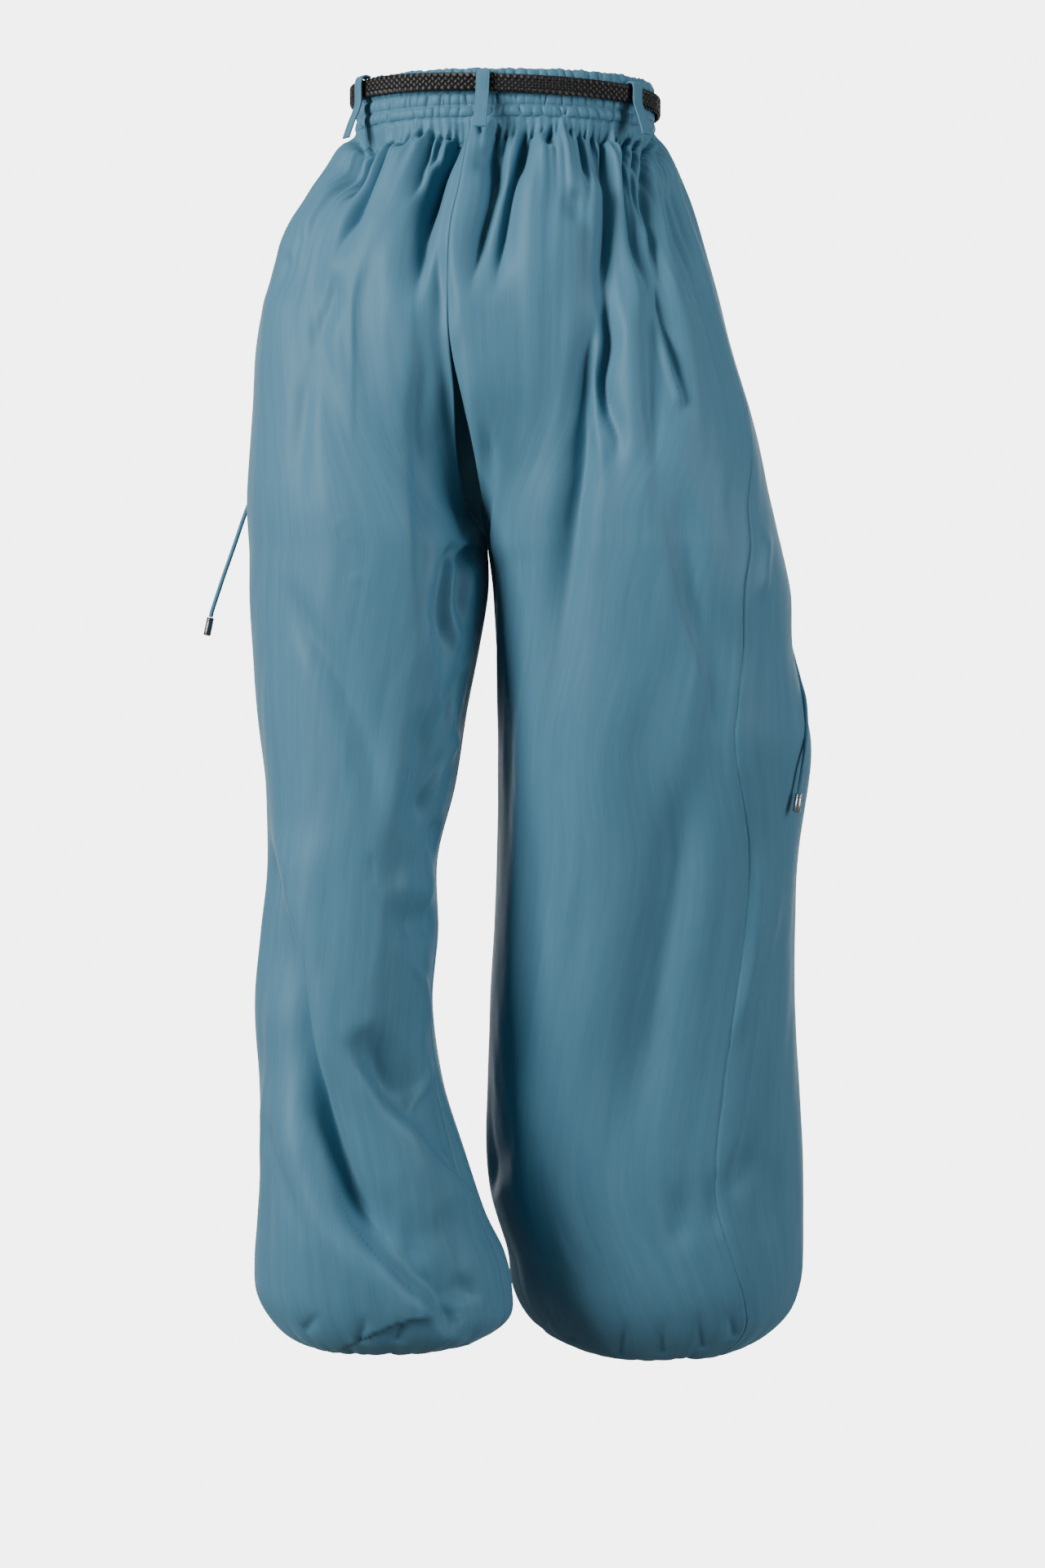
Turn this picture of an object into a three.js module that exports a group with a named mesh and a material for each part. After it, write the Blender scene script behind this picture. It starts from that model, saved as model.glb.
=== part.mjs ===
// Elastic-waist pants: very full satin trousers, worn, with a shirred waistband, balloon legs that
// turn under to a gathered ankle casing, a braided leather belt and a waist drawstring.
// Millimetres. +Z is up, the wearer faces +Y, the wearer's right is +X. The origin is at the middle
// of the waistband's ring, where the wearer's waist holds the garment.
import * as THREE from 'three';

// Cloth
const WALL = 2.0;
const SEAM_GAP = 0.3;
const PELVIS_TURN = 8.5;        // degrees that the centre seams are turned towards the wearer's left
const ROUNDNESS = 0.89;         // exponent of the loops: 1 is an ellipse, less is squarer
const GATHERS_PER_PANEL = 18;   // small gathers where a panel joins the waistband
const GATHER_COLUMNS = 2 * GATHERS_PER_PANEL;
const GATHER_DEPTH = { small: 2.6, merged: 2.6, hem: 2.4 };
// Distances below the ring between which the gathers rise, stand and die out
const GATHER_ZONE = { small: [16, 32, 45, 100], merged: [40, 100, 120, 270] };
const HEM_ROWS = { first: 8, full: 3 };   // rows above the ankle where the hem's gathers begin and are full
const PANEL_COLUMNS = 18;
const GATHER_ROWS = 5;          // rows of sections that carry the small gathers
const CROTCH_GAP = 0.25;        // half the space between the two legs' walls at the crotch
const MIDDLE_STEP = 0.05;       // share of a panel's width over which its real width is read

// Waistband
const BAND = { top: 17, foot: -20.2, inside: -2.4, bulge: 0.9, ripple: 0.7, stitch: -0.5 };
const BAND_CHANNEL = 9.2;       // height of one shirred channel
const BAND_SHOWN_CHANNELS = 2;  // channels below the belt, each raised on its own

// Belt
const BELT = { tall: 14, thick: 4.0, standOff: 2.6, middle: 5, tilt: -0.036, steps: 70 };
const BELT_TAIL = { turn: 26, gap: 1.0, rises: [349, 357] };   // degrees, and space over the strap's start
const CENTRE_FRONT = 270 + PELVIS_TURN;
const BUCKLE = { long: 24, tall: 21, rail: 2.6, thick: 2.4, lean: 11, standOff: 6.2, prong: 1.1 };
const BUCKLE_DIRECTION = CENTRE_FRONT + 10.5;
const STRAP_START = CENTRE_FRONT + 2.4;

// Belt loops: direction round the waist in degrees, clockwise from the wearer's right, seen from above
const LOOP_WIDTH = 10.5;
const LOOP_THICK = 1.6;
const LOOPS = [
  { name: 'loop_back_right', direction: 37, lean: 2 },
  { name: 'loop_back_centre', direction: 96, lean: 2 },
  { name: 'loop_side_left', direction: 153, lean: 0 },
  { name: 'loop_front_left', direction: 229, lean: 0 },
  { name: 'loop_front_right', direction: 324, lean: 0 },
];

// Drawstring: each end leaves an eyelet at the front and lies over the thigh to its free metal end
const CORD = { radius: 1.8, sides: 8, pitch: 13.6 };
const EYELET = { outer: 4.6, hole: 2.3, thick: 1.4, height: -15.5, standOff: 2.6, fromCentre: 11 };
const CORD_END = { radius: 3.0, length: 15, plain: 7, rib: 0.45, ribs: 4, sides: 10 };
const CORD_ROUTES = {
  left: [
    [-9, 96, -15.5], [-9, 100.5, -16.2], [-9.2, 105, -19.5], [-9.8, 108.5, -26], [-11.5, 111.5, -38],
    [-16, 112.5, -53], [-26, 113, -74], [-40, 113.4, -98], [-57, 114.4, -124], [-77, 110.5, -150],
    [-99, 109, -176], [-122, 106.5, -202], [-146, 101.5, -228], [-167, 95.5, -253], [-185, 83, -276],
    [-199, 66, -293], [-206.5, 54, -302.5], [-211.7, 48, -311], [-216.4, 45.5, -323.5],
    [-221.8, 44, -339.6], [-227.1, 43, -355], [-232.5, 42, -370.4], [-237.8, 41, -386.5],
    [-242, 40.5, -399.5], [-243, 40.4, -404],
  ],
  right: [
    [42, 92.3, -15.5], [42, 96.8, -16.2], [42.2, 101, -19.5], [43, 103.8, -26], [44.8, 105.3, -38],
    [50, 105.5, -56], [60, 102.5, -82], [72, 101.5, -114], [88, 101, -148], [107, 96.5, -184],
    [128, 91.5, -222], [152, 91.5, -262], [178.5, 89, -303], [202, 79, -344], [214.5, 72, -376],
    [222.8, 62, -391], [228.3, 49, -404.5], [232.4, 31, -424.9], [235, 16.5, -440.6],
    [237, 5, -455], [238.4, -6, -470], [239, -15, -485], [238.6, -22, -499], [237.2, -28.5, -511],
    [235.4, -31, -523], [233.8, -30, -534.5], [232.4, -29, -545],
  ],
};

// Ankle casings
const CASING = { radius: 46, tall: 24, wall: 2.0, gathers: 18, ripple: 0.8 };

// Pocket bags inside the side seams: the rows of sections and the panel columns that they lie behind
const POCKET = { firstRow: 5, lastRow: 9, columns: 7, thick: 2.2, clear: 2.2, edge: 0.002 };
const POCKET_MOUTH = { top: -88, foot: -236, gape: 4.5, reach: 0.07 };

const HIP_COLUMNS = [
  'z', 'left', 'seam', 'right', 'back', 'front', 'fork', 'swell', 'sideLeft', 'sideRight'];
const HIP_SECTIONS = [
  [-20.5, -120, -20, 116, -94, 92, 0, 0, -8, 9],
  [-25, -128, -22, 121, -101, 98, 0, 0, -8, 9],
  [-33, -139, -24, 128, -107, 103, 0, 0, -8, 9],
  [-50, -150, -29, 137, -113, 107, 0, 0, -8, 9],
  [-75, -164, -35, 147, -119, 110, 0, 0, -9, 10],
  [-105, -181, -38, 156, -125, 113, 0, 0.03, -10, 11],
  [-150, -194, -38, 168, -131, 116, 0, 0.15, -11, 13],
  [-195, -201, -34, 181, -134, 118, 0.01, 0.34, -12, 15],
  [-240, -203, -31, 196, -133, 119, 0.07, 0.56, -13, 20],
  [-280, -205, -27, 206.5, -131, 120, 0.23, 0.76, -14, 29],
  [-315, -206, -22, 214, -128, 121, 0.54, 0.92, -15, 41],
  [-340, -205, -17.5, 219.5, -125, 121.5, 0.86, 0.98, -16, 45],
  [-353, -204.5, -15.5, 222.5, -123.5, 122, 1, 1, -16, 47],
];

const LEG_COLUMNS = ['z', 'outer', 'inner', 'back', 'front', 'side', 'inseam'];
const LEG_SECTIONS = {
  left: [
    [-385, -205, -15.5, -120, 121, -17, -3],
    [-430, -203.5, -22.5, -114.5, 121, -18, -6],
    [-480, -201, -32, -109, 121, -19, -9],
    [-540, -195, -41, -104, 122, -20, -12],
    [-600, -194, -55.5, -100.5, 122, -20, -14],
    [-660, -200, -55, -98, 124, -20, -15],
    [-720, -205, -59.5, -96, 127, -20, -15],
    [-780, -201, -52, -94, 130, -20, -15],
    [-840, -199, -34, -92, 133, -20, -15],
    [-890, -203, -18, -90, 135, -20, -15],
    [-925, -207, -2, -86, 132, -20, -15],
    [-953, -206, 3, -80, 126, -20, -15],
    [-974, -195, 2, -71, 119, -20, -15],
    [-988, -181, -14, -57, 105, -20, -15],
    [-995, -162, -40, -38, 84, -20, -15],
    [-985, -155, -49, -32, 77, -20, -15],
    [-970, -153, -51, -30, 75, -20, -15],
    [-962, -149, -55, -25, 69, -20, -15],
  ],
  right: [
    [-385, 229, -12, -117.5, 127, 54, 2],
    [-430, 230.5, -10, -107, 138, 55, 8],
    [-472, 239, -8.5, -97, 147, 61, 14],
    [-514, 247, -7.5, -85, 155, 65, 19],
    [-592, 238.5, -9.5, -61.5, 174, 54, 27],
    [-660, 238, -13, -42, 190, 55, 33],
    [-720, 239, -17, -26, 204, 59, 37],
    [-780, 243, -19, -10, 218, 64, 40],
    [-840, 248, -21, 4, 232, 68, 42],
    [-890, 250, -17, 16, 244, 68, 42],
    [-940, 251, -3, 28, 256, 63, 42],
    [-971, 249, 1, 38, 258, 58, 42],
    [-997, 240, 13, 52, 248, 54, 42],
    [-1017, 219, 36, 70, 230, 54, 42],
    [-1027, 192, 66, 87, 206, 54, 42],
    [-1016, 183, 77, 94, 200, 54, 42],
    [-1001, 181, 79, 96, 198, 54, 42],
    [-993, 177, 83, 100, 194, 54, 42],
  ],
};

// Largest folds: a path by three places (x, z) across the cloth seen from behind or from in front,
// its width and depth, and lip 1 where the side towards the wearer's left laps over the other
const FOLD_COLUMNS = ['face', 'x1', 'z1', 'x2', 'z2', 'x3', 'z3', 'width', 'depth', 'lip'];
const FOLDS = [
  ['back', 82, -45, 62, -240, 53, -510, 17, -9, 0],
  ['back', 92, -60, 95, -150, 99, -290, 14, 4, 0],
  ['back', 112, -50, 120, -140, 133, -255, 15, -8, 0],
  ['back', 121, -336, 142, -427, 165, -515, 18, -5, 0],
  ['back', 219, -610, 202, -715, 178, -885, 20, -9, 0],
  ['back', 134, -850, 138, -890, 145, -935, 15, -5, 0],
  ['back', -101, -45, -124, -115, -146, -220, 16, -9, 0],
  ['back', -152, -80, -172, -140, -188, -200, 15, -6, 0],
  ['back', -64, -80, -72, -290, -62, -590, 24, -11, 1],
  ['back', -178, -371, -122, -475, -58, -600, 26, -5, 0],
  ['back', -179, -600, -150, -795, -57, -955, 30, -17, 1],
  ['back', -142, -730, -80, -790, -19, -872, 17, 5, 0],
  ['front', 70, -45, 58, -240, 62, -490, 17, -8, 0],
  ['front', 112, -50, 126, -150, 142, -290, 15, -6, 0],
  ['front', -72, -45, -86, -240, -94, -480, 17, -8, 0],
  ['front', -118, -50, -140, -160, -152, -300, 15, -6, 0],
  ['front', 60, -590, 92, -760, 150, -940, 24, -11, 1],
  ['front', 205, -540, 192, -700, 160, -880, 20, -7, 0],
  ['front', -160, -420, -130, -520, -78, -620, 22, -6, 0],
  ['front', -158, -640, -120, -790, -60, -925, 24, -11, 1],
];

const COLOURS = {
  cloth: { color: 0x5f93a8, roughness: 0.45, metalness: 0 },
  band: { color: 0x578a9f, roughness: 0.5, metalness: 0 },
  leather: { color: 0x17161a, roughness: 0.4, metalness: 0 },
  steel: { color: 0xb8bcc0, roughness: 0.25, metalness: 1 },
};

const rad = THREE.MathUtils.degToRad;
const clamp = THREE.MathUtils.clamp;
const smoothstep = THREE.MathUtils.smoothstep;
const within = (value, [start, full, fade, end]) => (
  smoothstep(value, start, full) * (1 - smoothstep(value, fade, end)));
const softPower = (value) => Math.sign(value) * Math.abs(value) ** ROUNDNESS;

function namedRows(columns, rows) {
  return rows.map((row) => Object.fromEntries(columns.map((name, index) => [name, row[index]])));
}

const HIPS = namedRows(HIP_COLUMNS, HIP_SECTIONS);
const FOLD_ROWS = namedRows(FOLD_COLUMNS, FOLDS);
const CROTCH_STATION = HIPS.length - 1;

// One list of sections for each leg, from the waistband down to the ankle
function legSections(leg) {
  const sign = leg === 'left' ? -1 : 1;
  const hips = HIPS.map((row) => ({
    z: row.z,
    outer: leg === 'left' ? row.left : row.right,
    inner: row.seam + sign * CROTCH_GAP,
    back: row.back,
    front: row.front,
    side: leg === 'left' ? row.sideLeft : row.sideRight,
    inseam: 0,
    waistLeft: row.left,
    waistRight: row.right,
    fork: row.fork,
    swell: row.swell,
  }));
  const last = hips[CROTCH_STATION];
  const legs = namedRows(LEG_COLUMNS, LEG_SECTIONS[leg]).map((row) => ({
    ...row, waistLeft: last.waistLeft, waistRight: last.waistRight, fork: 1, swell: 1,
  }));
  return [...hips, ...legs];
}

const SECTIONS = { left: legSections('left'), right: legSections('right') };
const LAST_STATION = SECTIONS.left.length - 1;

// Section between the table's rows, smooth through them all
function sectionAt(leg, station) {
  const rows = SECTIONS[leg];
  const low = clamp(Math.floor(station), 0, LAST_STATION - 1);
  const t = station - low;
  const [p, q, r, s] = [-1, 0, 1, 2].map((step) => rows[clamp(low + step, 0, LAST_STATION)]);
  const section = {};
  for (const name of Object.keys(q)) {
    const bend = 2 * p[name] - 5 * q[name] + 4 * r[name] - s[name];
    const turn = 3 * (q[name] - r[name]) + s[name] - p[name];
    section[name] = q[name] + 0.5 * t * (r[name] - p[name] + t * (bend + t * turn));
  }
  section.fork = clamp(section.fork, 0, 1);
  section.swell = clamp(section.swell, section.fork, 1);
  return section;
}

const legSign = (leg) => (leg === 'left' ? -1 : 1);
const faceSign = (face) => (face === 'back' ? 1 : -1);

// Point of the smooth cloth: across runs from the side seam (0) to the centre seam or inseam (1)
function smoothPoint(leg, face, across, station) {
  const s = sectionAt(leg, station);
  const mirror = legSign(leg);
  const facing = faceSign(face);
  const ring = (left, right, back, front, angle) => [
    (left + right) / 2 + mirror * (right - left) / 2 * softPower(Math.cos(angle)),
    (back + front) / 2 - (front - back) / 2 * softPower(Math.sin(angle)),
  ];
  const centre = facing * 90 + mirror * PELVIS_TURN;
  const hip = ring(s.waistLeft, s.waistRight, s.back, s.front, rad(s.side + (centre - s.side) * across));
  const inseam = facing * 180 + s.inseam;
  const [low, high] = [Math.min(s.outer, s.inner), Math.max(s.outer, s.inner)];
  const limb = ring(low, high, s.back, s.front, rad(s.side + (inseam - s.side) * across));
  const parted = s.swell + (s.fork - s.swell) * smoothstep(across, 0.3, 0.95);
  return new THREE.Vector3(
    hip[0] + (limb[0] - hip[0]) * parted,
    hip[1] + (limb[1] - hip[1]) * parted,
    s.z,
  );
}

function smoothNormal(leg, face, across, station) {
  const step = 0.004;
  const above = clamp(station - 0.02, 0, LAST_STATION);
  const below = clamp(station + 0.02, 0, LAST_STATION);
  const sideways = smoothPoint(leg, face, across + step, station)
    .sub(smoothPoint(leg, face, across - step, station));
  const down = smoothPoint(leg, face, across, below).sub(smoothPoint(leg, face, across, above));
  return sideways.cross(down).multiplyScalar(legSign(leg) * faceSign(face)).normalize();
}

// Height of one fold above the smooth cloth at (x, z)
function foldHeight(fold, x, z) {
  const t = (fold.z1 - z) / (fold.z1 - fold.z3);
  if (t <= 0 || t >= 1) return 0;
  const middle = (fold.z1 - fold.z2) / (fold.z1 - fold.z3);
  const path = fold.x1 * (t - middle) * (t - 1) / middle
    + fold.x2 * t * (t - 1) / (middle * (middle - 1))
    + fold.x3 * t * (t - middle) / (1 - middle);
  const slant = Math.hypot(fold.x3 - fold.x1, fold.z3 - fold.z1) / Math.abs(fold.z3 - fold.z1);
  const away = (x - path) / slant / fold.width;
  const lapped = away > 0 ? Math.exp(-1.1 * away) : Math.exp(-((away / 0.4) ** 2));
  const across = fold.lip ? lapped : Math.exp(-(away ** 2));
  return fold.depth * across * Math.sin(Math.PI * t) ** 0.6;
}

// Rise of the gathers and folds above the smooth cloth, along its normal
function clothRise(leg, face, across, station, point, normal) {
  const z = point.z;
  const uneven = 1 + 0.3 * Math.sin(2 * Math.PI * 3 * across + (face === 'back' ? 0 : 1));
  const small = within(-z, GATHER_ZONE.small);
  const merged = within(-z, GATHER_ZONE.merged);
  const atHem = smoothstep(station, LAST_STATION - HEM_ROWS.first, LAST_STATION - HEM_ROWS.full);
  const wave = (count) => Math.cos(2 * Math.PI * count * across);
  let rise = GATHER_DEPTH.small * small * wave(GATHERS_PER_PANEL);
  const pairs = GATHER_DEPTH.merged * merged + GATHER_DEPTH.hem * atHem;
  rise += pairs * uneven * (wave(GATHERS_PER_PANEL / 2) - 0.6);
  const facing = smoothstep(Math.abs(normal.y), 0.05, 0.4);
  const seen = normal.y < 0 ? 'back' : 'front';
  if (station < LAST_STATION - HEM_ROWS.full) {
    for (const fold of FOLD_ROWS) {
      if (fold.face === seen) rise += facing * foldHeight(fold, point.x, z);
    }
  }
  const mouth = (POCKET_MOUTH.top - z) / (POCKET_MOUTH.top - POCKET_MOUTH.foot);
  if (mouth > 0 && mouth < 1) {
    const gape = POCKET_MOUTH.gape * Math.sin(Math.PI * mouth) * Math.exp(-across / POCKET_MOUTH.reach);
    rise += face === 'front' ? -gape : gape * 0.3;
  }
  return rise;
}

// Point on the cloth's right side, moved out by lift
function clothPoint(leg, face, across, station, lift = 0) {
  const point = smoothPoint(leg, face, across, station);
  const normal = smoothNormal(leg, face, across, station);
  const rise = clothRise(leg, face, across, station, point, normal);
  return point.addScaledVector(normal, rise + lift);
}

// Mesh of one closed body from points and triangles, its faces turned outward
function closedBody(points, triangles) {
  const [a, b, c] = [new THREE.Vector3(), new THREE.Vector3(), new THREE.Vector3()];
  let volume = 0;
  for (const [i, j, k] of triangles) {
    volume += a.copy(points[i]).dot(b.copy(points[j]).cross(c.copy(points[k])));
  }
  const index = triangles.flatMap(([i, j, k]) => (volume > 0 ? [i, j, k] : [i, k, j]));
  const geometry = new THREE.BufferGeometry();
  geometry.setAttribute('position', new THREE.Float32BufferAttribute(points.flatMap((p) => p.toArray()), 3));
  geometry.setIndex(index);
  geometry.computeVertexNormals();
  return geometry;
}

// Triangles between two rows of point numbers, of equal length or one with twice the steps
function stitch(first, second) {
  const triangles = [];
  const steps = Math.min(first.length, second.length) - 1;
  const [p, q] = [(first.length - 1) / steps, (second.length - 1) / steps];
  for (let i = 0; i < steps; i += 1) {
    const [a, b] = [first[p * i], first[p * (i + 1)]];
    const [c, d] = [second[q * i], second[q * (i + 1)]];
    if (p === 2) {
      const middle = first[p * i + 1];
      triangles.push([a, middle, c], [middle, d, c], [middle, b, d]);
    } else if (q === 2) {
      const middle = second[q * i + 1];
      triangles.push([a, middle, c], [a, b, middle], [b, d, middle]);
    } else {
      triangles.push([a, b, c], [b, d, c]);
    }
  }
  return triangles;
}

// A wall from two sheets of points, given as rows; joined rows run all the way round
function wallBody(outerRows, innerRows, ring = false) {
  const points = [];
  const number = (rows) => rows.map((row) => {
    const numbers = row.map((point) => points.push(point) - 1);
    return ring ? [...numbers, numbers[0]] : numbers;
  });
  const outer = number(outerRows);
  const inner = number(innerRows);
  const triangles = [];
  for (let i = 0; i + 1 < outer.length; i += 1) triangles.push(...stitch(outer[i], outer[i + 1]));
  for (let i = 0; i + 1 < inner.length; i += 1) triangles.push(...stitch(inner[i + 1], inner[i]));
  triangles.push(...stitch(inner[0], outer[0]), ...stitch(outer.at(-1), inner.at(-1)));
  if (!ring) {
    const edge = (rows, place) => rows.map((row) => row.at(place));
    triangles.push(...stitch(edge(outer, 0), edge(inner, 0)), ...stitch(edge(inner, -1), edge(outer, -1)));
  }
  return closedBody(points, triangles);
}

function finish(geometry, name, look) {
  const mesh = new THREE.Mesh(geometry, new THREE.MeshStandardMaterial({ ...look, side: THREE.DoubleSide }));
  mesh.name = name;
  return mesh;
}

// One quarter of the trousers: a front or back panel of one leg, from the waistband to the ankle
function panel(leg, face) {
  const outer = [];
  const inner = [];
  for (let station = 0; station <= LAST_STATION; station += 1) {
    const columns = station < GATHER_ROWS ? GATHER_COLUMNS : PANEL_COLUMNS;
    const middle = smoothPoint(leg, face, 0.5, station);
    const reach = smoothPoint(leg, face, 0.5 - MIDDLE_STEP, station).distanceTo(middle);
    const edge = SEAM_GAP / 2 * MIDDLE_STEP / reach;
    const row = Array.from({ length: columns + 1 }, (_, i) => clamp(i / columns, edge, 1 - edge));
    outer.push(row.map((across) => clothPoint(leg, face, across, station)));
    inner.push(row.map((across) => clothPoint(leg, face, across, station, -WALL)));
  }
  return wallBody(outer, inner);
}

// Bag of a side-seam pocket: two layers of lining cloth pressed flat behind the front panel
function pocketBag(leg) {
  const outer = [];
  const inner = [];
  for (let station = POCKET.firstRow; station <= POCKET.lastRow; station += 1) {
    const row = Array.from({ length: POCKET.columns + 1 }, (_, j) => POCKET.edge + j / PANEL_COLUMNS);
    const sheet = (depth) => row.map((across) => (
      clothPoint(leg, 'front', across, station, -WALL - POCKET.clear - depth)));
    outer.push(sheet(0));
    inner.push(sheet(POCKET.thick));
  }
  return wallBody(outer, inner);
}

// Point on the waist's ring at a direction in degrees, moved out, and the way out from it
function waistPoint(direction, out, z) {
  const place = (degrees) => new THREE.Vector3(
    (HIPS[0].left + HIPS[0].right) / 2 + (HIPS[0].right - HIPS[0].left) / 2 * softPower(Math.cos(rad(degrees))),
    (HIPS[0].back + HIPS[0].front) / 2 - (HIPS[0].front - HIPS[0].back) / 2 * softPower(Math.sin(rad(degrees))),
    z,
  );
  const along = place(direction + 1).sub(place(direction - 1)).normalize();
  const outward = new THREE.Vector3(-along.y, along.x, 0);
  if (outward.dot(place(direction)) < 0) outward.negate();
  return { at: place(direction).addScaledVector(outward, out), outward, along };
}

// Elastic waistband, shirred in channels: the shown ones are raised on the outside of a plain inside
function waistband() {
  const ripples = 4 * GATHER_COLUMNS;
  const levels = [{ z: BAND.foot, out: BAND.stitch, ripple: 0.3 }];
  for (let i = 0; i < BAND_SHOWN_CHANNELS; i += 1) {
    const z = BAND.foot + BAND_CHANNEL * (i + 0.5);
    levels.push({ z, out: BAND.bulge, ripple: BAND.ripple });
    levels.push({ z: z + BAND_CHANNEL / 2, out: BAND.stitch, ripple: 0.2 });
  }
  levels.push({ z: BAND.top, out: 0, ripple: BAND.ripple });
  const outer = levels.map(({ z, out, ripple }) => Array.from({ length: ripples }, (_, i) => (
    waistPoint(360 * i / ripples, out + ripple * (i % 2 ? -1 : 1), z).at)));
  const inner = [BAND.foot, BAND.top].map((z) => Array.from({ length: ripples / 2 }, (_, i) => (
    waistPoint(720 * i / ripples, BAND.inside, z).at)));
  return wallBody(outer, inner, true);
}

// Bar of rectangular section along rows of four corners
function strip(rows) {
  const points = rows.flat();
  const triangles = [];
  for (let i = 0; i + 1 < rows.length; i += 1) {
    for (let side = 0; side < 4; side += 1) {
      const [a, b] = [4 * i + side, 4 * i + (side + 1) % 4];
      triangles.push([a, b, a + 4], [b, b + 4, a + 4]);
    }
  }
  const last = 4 * (rows.length - 1);
  triangles.push([0, 2, 1], [0, 3, 2], [last, last + 1, last + 2], [last, last + 2, last + 3]);
  return closedBody(points, triangles);
}

// Belt strap: once round the waist from behind the buckle's bar, then its tail lies over its start
function beltStrap() {
  const rise = BELT.thick + BELT_TAIL.gap;
  const [passBuckle, onTop] = BELT_TAIL.rises;
  const rows = [];
  for (let i = 0; i <= BELT.steps; i += 1) {
    const turn = (360 + BELT_TAIL.turn) * i / BELT.steps;
    const out = BELT.standOff + rise * smoothstep(turn, passBuckle, onTop);
    const { at, outward } = waistPoint(STRAP_START - turn, out, 0);
    const z = BELT.middle + BELT.tilt * at.x;
    const inside = at.clone();
    const outside = at.clone().addScaledVector(outward, BELT.thick);
    rows.push([[inside, -1], [outside, -1], [outside, 1], [inside, 1]].map(([p, up]) => (
      new THREE.Vector3(p.x, p.y, z + up * BELT.tall / 2))));
  }
  return strip(rows);
}

// Plain buckle at the centre front: its bar lies at the strap's start, its far rail over the strap
function buckleParts() {
  const half = { x: BUCKLE.long / 2, y: BUCKLE.tall / 2 };
  const outline = new THREE.Shape([
    new THREE.Vector2(-half.x, -half.y), new THREE.Vector2(half.x, -half.y),
    new THREE.Vector2(half.x, half.y), new THREE.Vector2(-half.x, half.y)]);
  const [wide, tall] = [half.x - BUCKLE.rail, half.y - BUCKLE.rail];
  outline.holes.push(new THREE.Path([
    new THREE.Vector2(-wide, -tall), new THREE.Vector2(-wide, tall),
    new THREE.Vector2(wide, tall), new THREE.Vector2(wide, -tall)]));
  const frame = new THREE.ExtrudeGeometry(outline, { depth: BUCKLE.thick, bevelEnabled: false });
  frame.translate(0, 0, -BUCKLE.thick / 2);
  const prongLength = half.x + 6.5;
  const prong = new THREE.CylinderGeometry(BUCKLE.prong, BUCKLE.prong, prongLength, 8);
  prong.rotateZ(Math.PI / 2);
  prong.translate(half.x + 0.5 - prongLength / 2, 0, 5.0);
  const { at, outward, along } = waistPoint(BUCKLE_DIRECTION, BUCKLE.standOff, 0);
  at.z = BELT.middle + BELT.tilt * at.x;
  const place = new THREE.Group();
  const across = along.clone();
  const up = outward.clone().cross(across).normalize();
  place.matrixAutoUpdate = false;
  place.matrix.makeBasis(across, up, outward).setPosition(at);
  const tilted = new THREE.Group();
  tilted.rotation.y = -rad(BUCKLE.lean);
  tilted.add(finish(frame, 'buckle_frame', COLOURS.steel));
  place.add(tilted, finish(prong, 'buckle_prong', COLOURS.steel));
  return place;
}

// Belt loop: from the band's top edge, out over the belt and down to the gathers below the band
function beltLoop({ direction, lean }) {
  const face = direction < 180 ? 'back' : 'front';
  const beltTop = BELT.middle + BELT.tilt * waistPoint(direction, 0, 0).at.x + BELT.tall / 2;
  const path = [
    { out: 1.4, z: beltTop + 0.7, lean: 0 },
    { out: 7.4, z: beltTop + 0.9, lean: 0 },
    { out: 8.8, z: beltTop - 2.5, lean: 0.1 },
    { out: 9.4, z: -4, lean: 0.4 },
    { out: 15.5, z: -19, lean: 0.8 },
    { out: face === 'back' ? 20 : 18.5, z: -31, lean: 1 },
  ];
  const { outward, along } = waistPoint(direction, 0, 0);
  const rows = path.map((place, i) => {
    const [before, after] = [path[Math.max(0, i - 1)], path[Math.min(path.length - 1, i + 1)]];
    const run = new THREE.Vector2(after.out - before.out, after.z - before.z).normalize();
    const middle = waistPoint(direction, place.out, place.z).at.addScaledVector(along, place.lean * lean);
    const over = outward.clone().multiplyScalar(-run.y).setZ(run.x).multiplyScalar(LOOP_THICK);
    const wide = along.clone().multiplyScalar(LOOP_WIDTH / 2);
    return [
      middle.clone().sub(wide), middle.clone().add(wide),
      middle.clone().add(wide).add(over), middle.clone().sub(wide).add(over),
    ];
  });
  return strip(rows);
}

// Elastic casing round the ankle, hanging inside the turned-under leg from the gathered cloth
function ankleCasing(leg) {
  const foot = SECTIONS[leg][LAST_STATION];
  const centre = new THREE.Vector2((foot.outer + foot.inner) / 2, (foot.back + foot.front) / 2);
  const top = foot.z - SEAM_GAP;
  const columns = 2 * CASING.gathers;
  const ringAt = (radius, ripple, z) => Array.from({ length: columns }, (_, i) => {
    const angle = 2 * Math.PI * i / columns;
    const r = radius + ripple * (i % 2 ? -1 : 1);
    return new THREE.Vector3(centre.x + r * Math.cos(angle), centre.y + r * Math.sin(angle), z);
  });
  const outer = [
    ringAt(CASING.radius - 0.4, 0.2, top),
    ringAt(CASING.radius + 0.8, CASING.ripple, top - CASING.tall / 2),
    ringAt(CASING.radius - 0.4, 0.2, top - CASING.tall)];
  const inside = CASING.radius - CASING.wall - 0.8;
  const inner = [ringAt(inside, 0, top), ringAt(inside, 0, top - CASING.tall)];
  return wallBody(outer, inner, true);
}

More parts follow.
